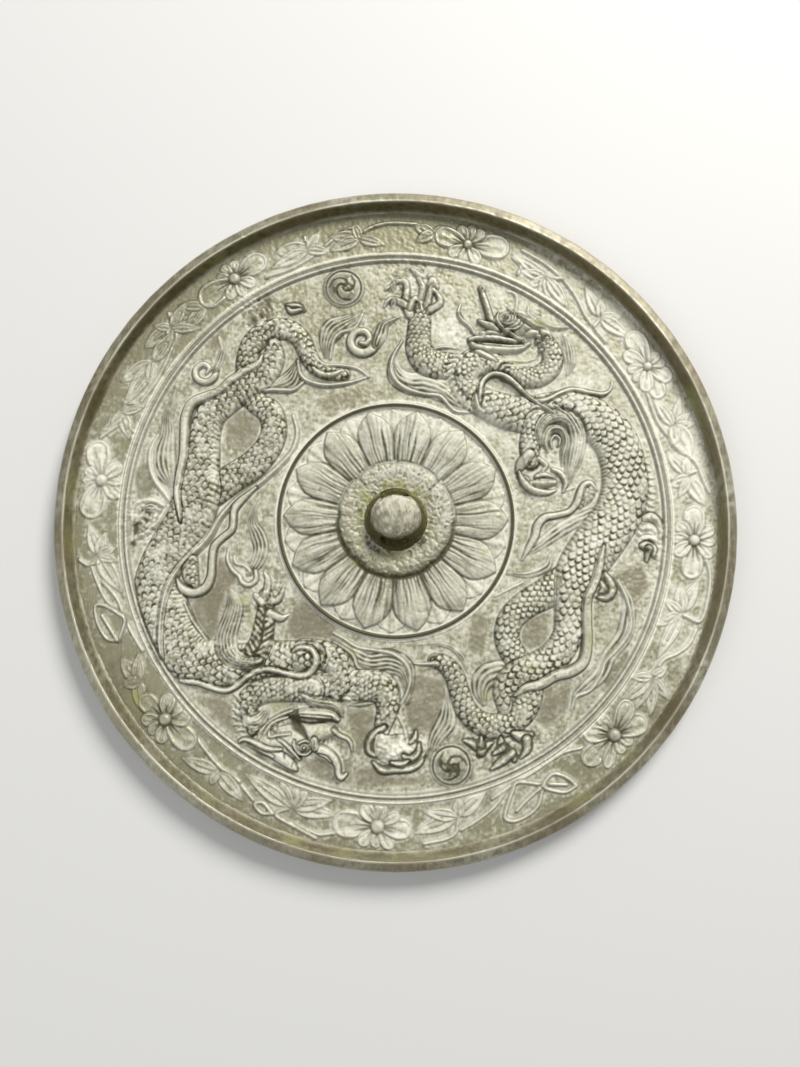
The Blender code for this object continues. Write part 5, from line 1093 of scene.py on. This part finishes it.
def sampled(sheet, x, y):
    # between the sheet's cells, evenly mixed
    u = np.clip((x + sheetSpec["reach"]) / sheetSpec["cell"], 0, sheetCells - 1.001)
    v = np.clip((y + sheetSpec["reach"]) / sheetSpec["cell"], 0, sheetCells - 1.001)
    i, j = v.astype(int), u.astype(int)
    fv, fu = v - i, u - j
    return (sheet[i, j] * (1 - fv) * (1 - fu) + sheet[i + 1, j] * fv * (1 - fu)
            + sheet[i, j + 1] * (1 - fv) * fu + sheet[i + 1, j + 1] * fv * fu)


print("building the pieces")


def newPiece(name, mesh):
    piece = bpy.data.objects.new(name, mesh)
    bpy.context.scene.collection.objects.link(piece)
    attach(piece, "root")
    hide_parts("mirror")
    return piece


def surfacePiece(name, points, faces, values, flat=True):
    # points in millimetres; values are the weathering marks at each point
    mesh = bpy.data.meshes.new(name)
    mesh.vertices.add(len(points))
    mesh.vertices.foreach_set("co", (np.asarray(points, np.float64) * mm).astype(np.float32).ravel())
    mesh.loops.add(faces.size)
    mesh.loops.foreach_set("vertex_index", faces.astype(np.int32).ravel())
    mesh.polygons.add(len(faces))
    mesh.polygons.foreach_set("loop_start", np.arange(0, faces.size, 4, dtype=np.int32))
    mesh.update(calc_edges=True)
    mesh.shade_smooth()
    for mark, value in values.items():
        mesh.attributes.new(mark, "FLOAT", "POINT").data.foreach_set("value", np.asarray(value, np.float32).ravel())
    if flat:
        low, high = points[:, :2].min(axis=0), points[:, :2].max(axis=0)
        spread = ((points[:, :2] - low) / (high - low).max())[faces.ravel()]
        mesh.uv_layers.new(name="OFBake").data.foreach_set("uv", spread.astype(np.float32).ravel())
    return newPiece(name, mesh)


def meshOf(bm, name):
    mesh = bpy.data.meshes.new(name)
    bm.to_mesh(mesh)
    bm.free()
    return mesh


def circleOf(bm, r, z, count):
    turns = [2 * math.pi * k / count for k in range(count)]
    return [bm.verts.new((r * math.cos(turn), r * math.sin(turn), z)) for turn in turns]


def gridFaces(keep):
    # the quads of a grid of points, counter-clockwise from above, where all four corners are kept
    rows, cols = keep.shape
    index = np.arange(rows * cols).reshape(rows, cols)
    quads = np.stack([index[:-1, :-1], index[:-1, 1:], index[1:, 1:], index[1:, :-1]], -1)
    whole = keep[:-1, :-1] & keep[:-1, 1:] & keep[1:, 1:] & keep[1:, :-1]
    return quads[whole]


def compact(points, faces, values):
    # leaves out the points that no face uses
    used, index = np.unique(faces, return_inverse=True)
    return points[used], index.reshape(faces.shape), {mark: value[used] for mark, value in values.items()}


fieldSpec = {"step": 0.28, "inner": 39.6, "outer": 87.4, "tuck": 0.08, "tuckWide": 0.4}


def fieldQuarter(name, sx, sy):
    step = fieldSpec["step"]
    xs = np.arange(0, fieldSpec["outer"] + step, step)
    x, y = np.meshgrid(xs, xs)
    r = np.hypot(x, y)
    keep = (r > fieldSpec["inner"] - step) & (r < fieldSpec["outer"] + step)
    x, y = x * sx, y * sy
    # its edges pass just below the pieces beside it
    overlap = (r < fieldSpec["inner"] + fieldSpec["tuckWide"]) | (r > fieldSpec["outer"] - fieldSpec["tuckWide"])
    z = fieldHeight + sampled(surface, x, y) - fieldSpec["tuck"] * overlap
    faces = gridFaces(keep)
    if sx * sy < 0:
        faces = faces[:, ::-1]
    points = np.stack([x, y, z], -1).reshape(-1, 3)
    values = {mark: sampled(sheet, x, y).ravel() for mark, sheet in marks.items()}
    return surfacePiece(name, *compact(points, faces, values))


def turnedSurface(name, spec, start=0.0, sweep=360.0):
    # a ring of the relief, or a part of one, from a first radius to a last
    r, a = np.meshgrid(np.linspace(*spec["radii"]), np.radians(start + np.linspace(0, sweep, spec["count"] + 1)))
    x, y = r * np.cos(a), r * np.sin(a)
    z = fieldHeight + sampled(surface, x, y)
    points = np.stack([x, y, z], -1).reshape(-1, 3)
    faces = gridFaces(np.ones(r.shape, bool))
    if sweep == 360.0:
        rows, cols = r.shape
        faces = np.where(faces >= (rows - 1) * cols, faces - (rows - 1) * cols, faces)
    values = {mark: sampled(sheet, x, y).ravel() for mark, sheet in marks.items()}
    return surfacePiece(name, *compact(points, faces, values))


fieldPieces = [fieldQuarter("field" + label, sx, sy) for label, sx, sy in
               (("NorthEast", 1, 1), ("NorthWest", -1, 1), ("SouthWest", -1, -1), ("SouthEast", 1, -1))]

medallionSpec = {"radii": (9.6, 40.0, 113), "count": 690}
medallion = turnedSurface("lotusMedallion", medallionSpec)

bandSpec = {"radii": (87.0, 105.4, 62), "count": 950}
bandPieces = [turnedSurface("flowerBand" + label, bandSpec, start, 180.0)
              for label, start in (("East", -90.0), ("West", 90.0))]


def waves(points, seed, length, count=28):
    # smooth unevenness through space
    rng = np.random.default_rng(seed)
    total = np.zeros(len(points))
    for _ in range(count):
        way = rng.standard_normal(3)
        way *= 2 * np.pi / (np.linalg.norm(way) * length * rng.uniform(0.6, 1.7))
        total += np.sin(points @ way + rng.uniform(0, 6.28))
    return total / math.sqrt(count / 2)


rimSpec = {
    "profile": ((104.6, 3.0), (105.0, 3.2), (105.25, 3.7), (105.5, 4.5), (105.8, 5.4), (106.1, 6.4), (106.35, 7.25),
                (106.5, 7.7), (106.62, 7.9), (106.8, 7.97), (107.0, 7.94), (107.4, 7.86), (108, 7.74), (108.6, 7.6),
                (109.1, 7.48), (109.45, 7.34), (109.7, 7.12), (109.86, 6.8), (109.94, 6.3), (109.96, 5.0),
                (109.96, 3.4), (109.96, 1.8), (109.94, 0.9), (109.8, 0.4), (109.5, 0.1), (109.0, 0.0)),
    "count": 1080,
    "crest": 106.8,
    "corner": 109.6,
    "ceiling": 7.99,
    "swell": 0.05,
    "ripple": 0.03,
    # degrees, half length in degrees, depth
    "nicks": ((234, 1.2, .5), (241, .8, .4), (251.5, 1.0, .5), (262, .7, .35), (206, .9, .35), (222, .8, .4),
              (285, .7, .3), (72, .7, .3), (118, .9, .3), (152, .8, .3)),
}


def buildRim():
    profile = np.array(rimSpec["profile"])
    angles = np.radians(np.linspace(0, 360, rimSpec["count"], endpoint=False))
    a, r = np.meshgrid(angles, profile[:, 0])
    z = np.repeat(profile[:, 1:2], len(angles), axis=1)
    crest = bell(r, rimSpec["crest"], 0.7) * (z > 6)
    for place, reach, depth in rimSpec["nicks"]:
        off = np.mod(np.degrees(a) - place + 180, 360) - 180
        z = z - depth * np.exp(-(off / (0.45 * reach)) ** 2) * crest
    flat = np.stack([r * np.cos(a), r * np.sin(a), z], -1).reshape(-1, 3)

    def spread(seed, length):
        return waves(flat, seed, length).reshape(r.shape)

    uneven = rimSpec["swell"] * spread(11, 9) + rimSpec["ripple"] * spread(12, 2.5)
    fade = ramp(z, 0.6, 2) * (r < 109.9)
    z = np.minimum(z + uneven * fade, rimSpec["ceiling"])
    r = r - 0.06 * np.abs(uneven) * fade
    points = np.stack([r * np.cos(a), r * np.sin(a), z], -1).reshape(-1, 3)
    index = np.arange(r.size).reshape(r.shape)
    after = np.roll(index, -1, axis=1)
    faces = np.stack([index[:-1], index[1:], after[1:], after[:-1]], -1).reshape(-1, 4)
    mottle, speck, north = spread(13, 14), spread(16, 2.2), 0.5 + 0.5 * np.sin(a - 0.2)
    powdered = 0.1 + 0.1 * mottle + 0.12 * speck + 0.5 * ramp(r, 105.6, -1.0) * (z < 4.4)
    # painted shade on the inner wall, darkest towards +Y, with dark specks
    rimWallShadeAndSpecks = (0.1 + 0.75 * north) * ramp(z, 3.4, 1.2) * ramp(r, 106.6, -0.3) + 0.08 * np.maximum(-speck, 0)
    # painted highlight along the crest, strongest towards +Y, and along the outer corner
    rimHighlights = (1 + 0.5 * north) * bell(r, rimSpec["crest"], 0.25) + 0.5 * bell(r, rimSpec["corner"], 0.25)
    values = {
        "powder": np.clip(powdered, 0, 1),
        "ink": rimWallShadeAndSpecks,
        "bare": np.zeros(r.shape),
        "rub": np.clip(rimHighlights * (z > 6), 0, 1),
        "green": np.clip(0.25 * spread(14, 20) * (r < 106.4), 0, 1),
        "brown": np.clip(0.4 + 0.35 * spread(15, 30) + 0.2 * speck, 0, 1),
    }
    return surfacePiece("rim", points, faces, values, flat=False)


rim = buildRim()

knobSpec = {
    "profile": ((1.6, 11.95), (3.2, 11.8), (4.6, 11.45), (5.8, 10.95), (6.7, 10.2), (7.4, 9.2), (8.1, 7.7),
                (8.7, 6.0), (9.3, 4.7), (9.9, 4.0), (10.4, 3.7), (10.5, 3.2)),
    "top": 12.0,
    "columns": 96,
    "hole": (9.0, 4.6, 1.8, -0.4, 6.7),  # width, height, corner radius, middle across, middle height
    "holeReach": 14,
    "voxel": 0.27,
    "easing": (0.5, 4),
    "uneven": (0.04, 0.03, -0.05),  # swell, ripple, all over
}


def knobBody():
    bm = bmesh.new()
    rings = [circleOf(bm, r, z, knobSpec["columns"]) for r, z in knobSpec["profile"]]
    top = bm.verts.new((0, 0, knobSpec["top"]))
    for k in range(knobSpec["columns"]):
        n = (k + 1) % knobSpec["columns"]
        bm.faces.new((rings[0][k], rings[0][n], top))
        for upper, lower in zip(rings, rings[1:]):
            bm.faces.new((upper[k], lower[k], lower[n], upper[n]))
    bm.faces.new(list(reversed(rings[-1])))
    return meshOf(bm, "knobBody")


def knobCutter():
    # a round-cornered bar through the knob, along Y
    wide, tall, corner, shift, middle = knobSpec["hole"]
    bm = bmesh.new()
    outline = []
    for quarter, (sx, sz) in enumerate(((1, -1), (1, 1), (-1, 1), (-1, -1))):
        for step in range(5):
            turn = math.radians(90 * quarter - 90 + 22.5 * step)
            outline.append((shift + sx * (wide / 2 - corner) + corner * math.cos(turn),
                            middle + sz * (tall / 2 - corner) + corner * math.sin(turn)))
    far = knobSpec["holeReach"]
    front, back = ([bm.verts.new((x, y, z)) for x, z in outline] for y in (-far, far))
    bm.faces.new(front)
    bm.faces.new(list(reversed(back)))
    for k in range(len(outline)):
        n = (k + 1) % len(outline)
        bm.faces.new((front[n], front[k], back[k], back[n]))
    bmesh.ops.recalc_face_normals(bm, faces=bm.faces)
    return meshOf(bm, "knobCutter")


def piercedKnob():
    # points, normals and faces of the knob with its hole, in one even skin
    body, cutter = knobBody(), knobCutter()
    work, tool = bpy.data.objects.new("knobWork", body), bpy.data.objects.new("knobTool", cutter)
    for item in (work, tool):
        bpy.context.scene.collection.objects.link(item)
    cut = work.modifiers.new("cordHole", "BOOLEAN")
    cut.operation, cut.solver, cut.object = "DIFFERENCE", "EXACT", tool
    skin = work.modifiers.new("skin", "REMESH")
    skin.mode, skin.voxel_size, skin.use_smooth_shade = "VOXEL", knobSpec["voxel"], True
    ease = work.modifiers.new("ease", "SMOOTH")
    ease.factor, ease.iterations = knobSpec["easing"]
    done = bpy.data.meshes.new_from_object(work.evaluated_get(bpy.context.evaluated_depsgraph_get()))
    points = np.empty(len(done.vertices) * 3, np.float32)
    done.vertices.foreach_get("co", points)
    normals = np.empty(len(done.vertices) * 3, np.float32)
    done.vertices.foreach_get("normal", normals)
    faces = np.empty(len(done.polygons) * 4, np.int32)
    done.polygons.foreach_get("vertices", faces)
    for item in (work, tool):
        bpy.data.objects.remove(item)
    for spare in (done, body, cutter):
        bpy.data.meshes.remove(spare)
    return points.reshape(-1, 3).astype(float), normals.reshape(-1, 3), faces.reshape(-1, 4)


def buildKnob():
    points, normals, faces = piercedKnob()
    swell, ripple, everywhere = knobSpec["uneven"]
    points += normals * (swell * waves(points, 21, 3.2) + ripple * waves(points, 22, 1.1) + everywhere)[:, None]
    points[:, 2] = np.minimum(points[:, 2] + (knobSpec["top"] - points[:, 2].max()), knobSpec["top"])
    x, y, z = points.T
    r, south = np.hypot(x, y), np.maximum(-y - 1, 0)
    mottle = waves(points, 23, 2.4)
    # painted shade inside the cord hole
    holeShade = np.clip((5 - np.abs(x + 0.4)), 0, 1) * (z < 9.6) * (np.abs(normals[:, 2]) > 0.5)
    # painted shade round the wall, deepest towards -Y
    low = np.clip((8.1 - 0.09 * y + 0.42 * south - z) / 1.5 + 0.1 * mottle, 0, 1)
    crusted = np.clip((5.0 - z) / 2.0 + 0.15 * mottle, 0, 1) * np.clip(0.4 + 0.05 * y, 0, 0.7)
    values = {
        # paler towards +Y: painted light on the lit side
        "powder": np.clip(0.28 + 0.066 * y + 0.35 * mottle, 0, 1) * (1 - low) * (1 - holeShade),
        "ink": np.clip(low * (0.86 + 0.05 * mottle + 0.012 * np.maximum(-y, 0)) + 0.6 * holeShade, 0, 0.98),
        "bare": np.zeros(len(points)),
        # the shoulder of the top lightened, as wear and painted highlight
        "rub": np.clip(0.35 * bell(r, 6.9, 0.8) * (z > 9), 0, 1),
        "green": crusted * (1 - holeShade),
        "brown": np.clip(0.15 - 0.02 * y + 0.15 * mottle, 0, 1) * (1 - 0.8 * low),
    }
    return surfacePiece("knob", points, faces, values, flat=False)


knob = buildKnob()

reverseSpec = {"radii": (0.4, 10, 25, 45, 65, 85, 100, 107, 109.05), "count": 360}


def buildReverse():
    bm = bmesh.new()
    rings = [circleOf(bm, r * mm, 0, reverseSpec["count"]) for r in reverseSpec["radii"]]
    for inner, outer in zip(rings, rings[1:]):
        for k in range(reverseSpec["count"]):
            n = (k + 1) % reverseSpec["count"]
            bm.faces.new((inner[k], inner[n], outer[n], outer[k]))
    bm.faces.new(list(reversed(rings[0])))
    mesh = meshOf(bm, "reflectingFace")
    mesh.shade_smooth()
    return newPiece("reflectingFace", mesh)


reverse = buildReverse()

print("mixing the finishes")


def newGroup(name, inputs, outputs):
    tree = bpy.data.node_groups.new(name, "ShaderNodeTree")
    for label, kind, value in inputs:
        tree.interface.new_socket(label, in_out="INPUT", socket_type=kind).default_value = value
    for label, kind in outputs:
        tree.interface.new_socket(label, in_out="OUTPUT", socket_type=kind)
    return tree, tree.nodes.new("NodeGroupInput"), tree.nodes.new("NodeGroupOutput")


def place(tree, kind, settings=None, **sockets):
    # one node, its settings, and its inputs by name: a value or the socket that feeds it
    made = tree.nodes.new(kind)
    for key, value in (settings or {}).items():
        setattr(made, key, value)
    for key, value in sockets.items():
        where = int(key[1:]) if key[0] == "i" and key[1:].isdigit() else key.replace("_", " ")
        socket = made.inputs[where]
        if isinstance(value, bpy.types.NodeSocket):
            tree.links.new(value, socket)
        else:
            socket.default_value = value
    return made


def mixed(tree, share, first, second):
    return place(tree, "ShaderNodeMix", {"data_type": "RGBA"}, Factor=share, i6=first, i7=second).outputs[2]


def worked(tree, how, a, b, clamp=False):
    return place(tree, "ShaderNodeMath", {"operation": how, "use_clamp": clamp}, i0=a, i1=b).outputs[0]


castNoise = {
    "fine": {"scale": 2600.0, "detail": 5.0, "rough": 0.65, "share": 0.45},
    "coarse": {"scale": 420.0, "detail": 4.0, "rough": 0.6, "share": 0.15},
    "streaks": {"scale": 1900.0, "detail": 2.0, "rough": 0.6, "share": 0.4},
}
streakStretch = (1.0, 0.12, 1.0)


def buildCastGrain():
    # fine mottling and roughness of a cast face
    tree, given, out = newGroup("castGrain",
                                (("Scale", "NodeSocketFloat", 1.0), ("Contrast", "NodeSocketFloat", 0.5)),
                                (("Mottle", "NodeSocketFloat"), ("Height", "NodeSocketFloat")))
    where = place(tree, "ShaderNodeTexCoord").outputs["Object"]
    drawn = place(tree, "ShaderNodeVectorMath", {"operation": "MULTIPLY"}, i0=where, i1=streakStretch).outputs[0]
    layers = []
    for kind, spec in castNoise.items():
        scale = worked(tree, "MULTIPLY", given.outputs["Scale"], spec["scale"])
        noise = place(tree, "ShaderNodeTexNoise", None, Vector=drawn if kind == "streaks" else where, Scale=scale,
                      Detail=spec["detail"], Roughness=spec["rough"])
        layers.append(worked(tree, "MULTIPLY", noise.outputs[0], spec["share"]))
    both = worked(tree, "ADD", worked(tree, "ADD", layers[0], layers[1]), layers[2])
    level = worked(tree, "MULTIPLY", worked(tree, "SUBTRACT", both, 0.5), given.outputs["Contrast"])
    tree.links.new(worked(tree, "ADD", level, 0.5, True), out.inputs["Mottle"])
    tree.links.new(both, out.inputs["Height"])
    return tree


crusts = {"green": (0.3, 0.31, 0.1, 1), "brown": (0.16, 0.12, 0.06, 1)}


def buildPatina():
    # what lies over the bare metal: powder in the hollows, which also carries painted light, dark dirt with painted
    # shade, green and brown crusts, and worn edges lightened as painted highlight
    tree, given, out = newGroup("agedPatina", (
        ("Metal", "NodeSocketColor", (0.1, 0.1, 0.08, 1)), ("Shade", "NodeSocketColor", (0.05, 0.05, 0.03, 1)),
        ("Powder Colour", "NodeSocketColor", (0.6, 0.6, 0.5, 1)), ("Powder", "NodeSocketFloat", 0.0),
        ("Rub Colour", "NodeSocketColor", (0.3, 0.3, 0.25, 1)), ("Rub", "NodeSocketFloat", 0.0),
        ("Ink Colour", "NodeSocketColor", (0.05, 0.05, 0.03, 1)), ("Ink", "NodeSocketFloat", 0.0),
        ("Bare Colour", "NodeSocketColor", (0.15, 0.14, 0.1, 1)), ("Bare", "NodeSocketFloat", 0.0),
        ("Green", "NodeSocketFloat", 0.0), ("Brown", "NodeSocketFloat", 0.0), ("Mottle", "NodeSocketFloat", 0.5)),
        (("Colour", "NodeSocketColor"), ("Cover", "NodeSocketFloat")))
    got = given.outputs

    def times(a, b):
        return worked(tree, "MULTIPLY", a, b)

    metal = mixed(tree, got["Mottle"], got["Shade"], got["Metal"])
    metal = mixed(tree, got["Bare"], metal, got["Bare Colour"])
    worn = mixed(tree, times(got["Rub"], 0.8), metal, got["Rub Colour"])
    lumps = worked(tree, "SUBTRACT", got["Mottle"], 0.5)
    cover = worked(tree, "ADD", got["Powder"], times(lumps, 0.5), True)
    cover = times(cover, worked(tree, "SUBTRACT", 1.0, times(got["Bare"], 0.7)))
    dusty = mixed(tree, cover, worn, got["Powder Colour"])
    dusty = mixed(tree, times(got["Ink"], 0.95), dusty, got["Ink Colour"])
    stained = mixed(tree, times(got["Brown"], 0.5), dusty, crusts["brown"])
    crust = worked(tree, "ADD", got["Green"], times(lumps, 0.9), True)
    crust = times(crust, worked(tree, "MINIMUM", times(got["Green"], 3.0), 1.0))
    crusted = mixed(tree, times(crust, 0.75), stained, crusts["green"])
    tree.links.new(crusted, out.inputs["Colour"])
    tree.links.new(worked(tree, "MAXIMUM", cover, crust), out.inputs["Cover"])
    return tree


castGrain, agedPatina = buildCastGrain(), buildPatina()

# each finish's colours: metal and its darker tone, the pale powder that also gives painted light, worn edges and
# painted highlight, dirt and painted shade, and bare metal; then its grain, roughness and bump
finishes = {
    "reliefBronze": {
        "metal": (0.42, 0.405, 0.275, 1), "shade": (0.26, 0.25, 0.155, 1), "powder": (0.87, 0.855, 0.74, 1),
        "rub": (0.74, 0.72, 0.58, 1), "ink": (0.05, 0.047, 0.012, 1), "bare": (0.31, 0.285, 0.2, 1),
        "scale": 1.0, "contrast": 1.6, "smooth": 0.52, "rough": 0.8, "bump": 0.25,
    },
    "rimBronze": {
        "metal": (0.32, 0.3, 0.225, 1), "shade": (0.18, 0.168, 0.105, 1), "powder": (0.6, 0.58, 0.48, 1),
        "rub": (0.8, 0.78, 0.62, 1), "ink": (0.068, 0.059, 0.004, 1), "bare": (0.2, 0.18, 0.14, 1),
        "scale": 0.8, "contrast": 2.2, "smooth": 0.46, "rough": 0.75, "bump": 0.3,
    },
    "knobBronze": {
        "metal": (0.4, 0.385, 0.29, 1), "shade": (0.2, 0.19, 0.12, 1), "powder": (0.66, 0.64, 0.53, 1),
        "rub": (0.6, 0.58, 0.47, 1), "ink": (0.06, 0.052, 0.002, 1), "bare": (0.2, 0.18, 0.14, 1),
        "scale": 1.1, "contrast": 3.2, "smooth": 0.55, "rough": 0.78, "bump": 0.45,
    },
}
underPowder = {"from": 0.7, "metallic": 0.5}
bumpHeight = 0.0002


def newMaterial(name):
    material = bpy.data.materials.new(name)
    material.use_nodes = True
    material.node_tree.nodes.clear()
    return material, material.node_tree


def buildFinish(name):
    spec = finishes[name]
    material, tree = newMaterial(name)
    mark = {key: place(tree, "ShaderNodeAttribute", {"attribute_name": key}).outputs["Fac"] for key in marks}
    cast = place(tree, "ShaderNodeGroup", {"node_tree": castGrain}, Scale=spec["scale"], Contrast=spec["contrast"])
    skin = place(tree, "ShaderNodeGroup", {"node_tree": agedPatina}, Metal=spec["metal"], Shade=spec["shade"],
                 Powder_Colour=spec["powder"], Powder=mark["powder"], Rub_Colour=spec["rub"], Rub=mark["rub"],
                 Ink_Colour=spec["ink"], Ink=mark["ink"], Bare_Colour=spec["bare"], Bare=mark["bare"],
                 Green=mark["green"], Brown=mark["brown"], Mottle=cast.outputs["Mottle"])
    cover = skin.outputs["Cover"]
    rough = place(tree, "ShaderNodeMapRange", None, Value=cover, To_Min=spec["smooth"], To_Max=spec["rough"])
    metallic = place(tree, "ShaderNodeMapRange", None, Value=cover, From_Max=underPowder["from"],
                     To_Min=underPowder["metallic"], To_Max=0.0)
    bump = place(tree, "ShaderNodeBump", None, Strength=spec["bump"], Distance=bumpHeight,
                 Height=cast.outputs["Height"])
    shader = place(tree, "ShaderNodeBsdfPrincipled", None, Base_Color=skin.outputs["Colour"],
                   Roughness=rough.outputs[0], Metallic=metallic.outputs[0], Normal=bump.outputs[0])
    place(tree, "ShaderNodeOutputMaterial", None, Surface=shader.outputs[0])
    return material


reliefBronze, rimBronze, knobBronze = (buildFinish(name) for name in finishes)
for piece in (*fieldPieces, *bandPieces, medallion):
    piece.data.materials.append(reliefBronze)
rim.data.materials.append(rimBronze)
knob.data.materials.append(knobBronze)


polished = {"scale": 0.12, "contrast": 2.4, "dark": (0.2, 0.19, 0.13, 1), "light": (0.42, 0.4, 0.3, 1),
            "roughness": (0.42, 0.24), "metallic": 0.9}


def buildPolished():
    # the reflecting side: plain polished bronze, dulled and faintly clouded with age
    material, tree = newMaterial("polishedBronze")
    cast = place(tree, "ShaderNodeGroup", {"node_tree": castGrain}, Scale=polished["scale"],
                 Contrast=polished["contrast"])
    colour = mixed(tree, cast.outputs["Mottle"], polished["dark"], polished["light"])
    least, most = polished["roughness"]
    rough = place(tree, "ShaderNodeMapRange", None, Value=cast.outputs["Mottle"], To_Min=least, To_Max=most)
    shader = place(tree, "ShaderNodeBsdfPrincipled", None, Base_Color=colour, Roughness=rough.outputs[0],
                   Metallic=polished["metallic"])
    place(tree, "ShaderNodeOutputMaterial", None, Surface=shader.outputs[0])
    return material


reverse.data.materials.append(buildPolished())

print("setting the table, light and camera")

studio = {
    "floor": (0.74, 0.74, 0.73, 1), "floorRough": 0.7, "floorReach": 3.0, "floorAt": (0, 0, -0.0002),
    "world": (0.86, 0.86, 0.84, 1), "worldStrength": 0.35,
    "key": {"at": (0.5, 0.9, 0.8), "size": 0.55, "power": 19.0, "colour": (1.0, 0.98, 0.94)},
    "fill": {"at": (-0.8, -0.5, 0.9), "size": 1.0, "power": 4.0, "colour": (0.95, 0.97, 1.0)},
    "camera": {"at": (0.00096, -0.03115, 0.26284), "turnX": 5.836, "turnY": -0.083, "lens": 27.025305, "sensor": 36.0,
               "nearest": 0.01},
}


def buildFloor():
    bm = bmesh.new()
    bmesh.ops.create_grid(bm, x_segments=2, y_segments=2, size=studio["floorReach"])
    mesh = meshOf(bm, "floor")
    floor = bpy.data.objects.new("floor", mesh)
    floor.location = studio["floorAt"]
    bpy.context.scene.collection.objects.link(floor)
    material = bpy.data.materials.new("plainTable")
    material.use_nodes = True
    shader = material.node_tree.nodes["Principled BSDF"]
    shader.inputs["Base Color"].default_value = studio["floor"]
    shader.inputs["Roughness"].default_value = studio["floorRough"]
    mesh.materials.append(material)


def buildLight(name, spec):
    lamp = bpy.data.lights.new(name, "AREA")
    lamp.shape, lamp.size, lamp.energy, lamp.color = "DISK", spec["size"], spec["power"], spec["colour"]
    holder = bpy.data.objects.new(name, lamp)
    holder.location = spec["at"]
    holder.rotation_euler = (-Vector(spec["at"])).to_track_quat("-Z", "Y").to_euler()
    bpy.context.scene.collection.objects.link(holder)


def buildWorld():
    world = bpy.data.worlds.new("studioWorld")
    world.use_nodes = True
    background = world.node_tree.nodes["Background"]
    background.inputs["Color"].default_value = studio["world"]
    background.inputs["Strength"].default_value = studio["worldStrength"]
    bpy.context.scene.world = world


def buildCamera(spec):
    view = bpy.data.cameras.new("viewpoint")
    view.lens, view.sensor_width, view.clip_start = spec["lens"], spec["sensor"], spec["nearest"]
    viewpoint = bpy.data.objects.new("viewpoint", view)
    turnY, turnX = (Matrix.Rotation(math.radians(spec["turn" + axis]), 4, axis) for axis in "YX")
    viewpoint.matrix_world = Matrix.Translation(spec["at"]) @ turnY @ turnX
    bpy.context.scene.collection.objects.link(viewpoint)
    return viewpoint


buildFloor()
buildLight("keyLight", studio["key"])
buildLight("fillLight", studio["fill"])
buildWorld()
bpy.context.scene.camera = buildCamera(studio["camera"])
bpy.context.scene.view_settings.view_transform = "Standard"
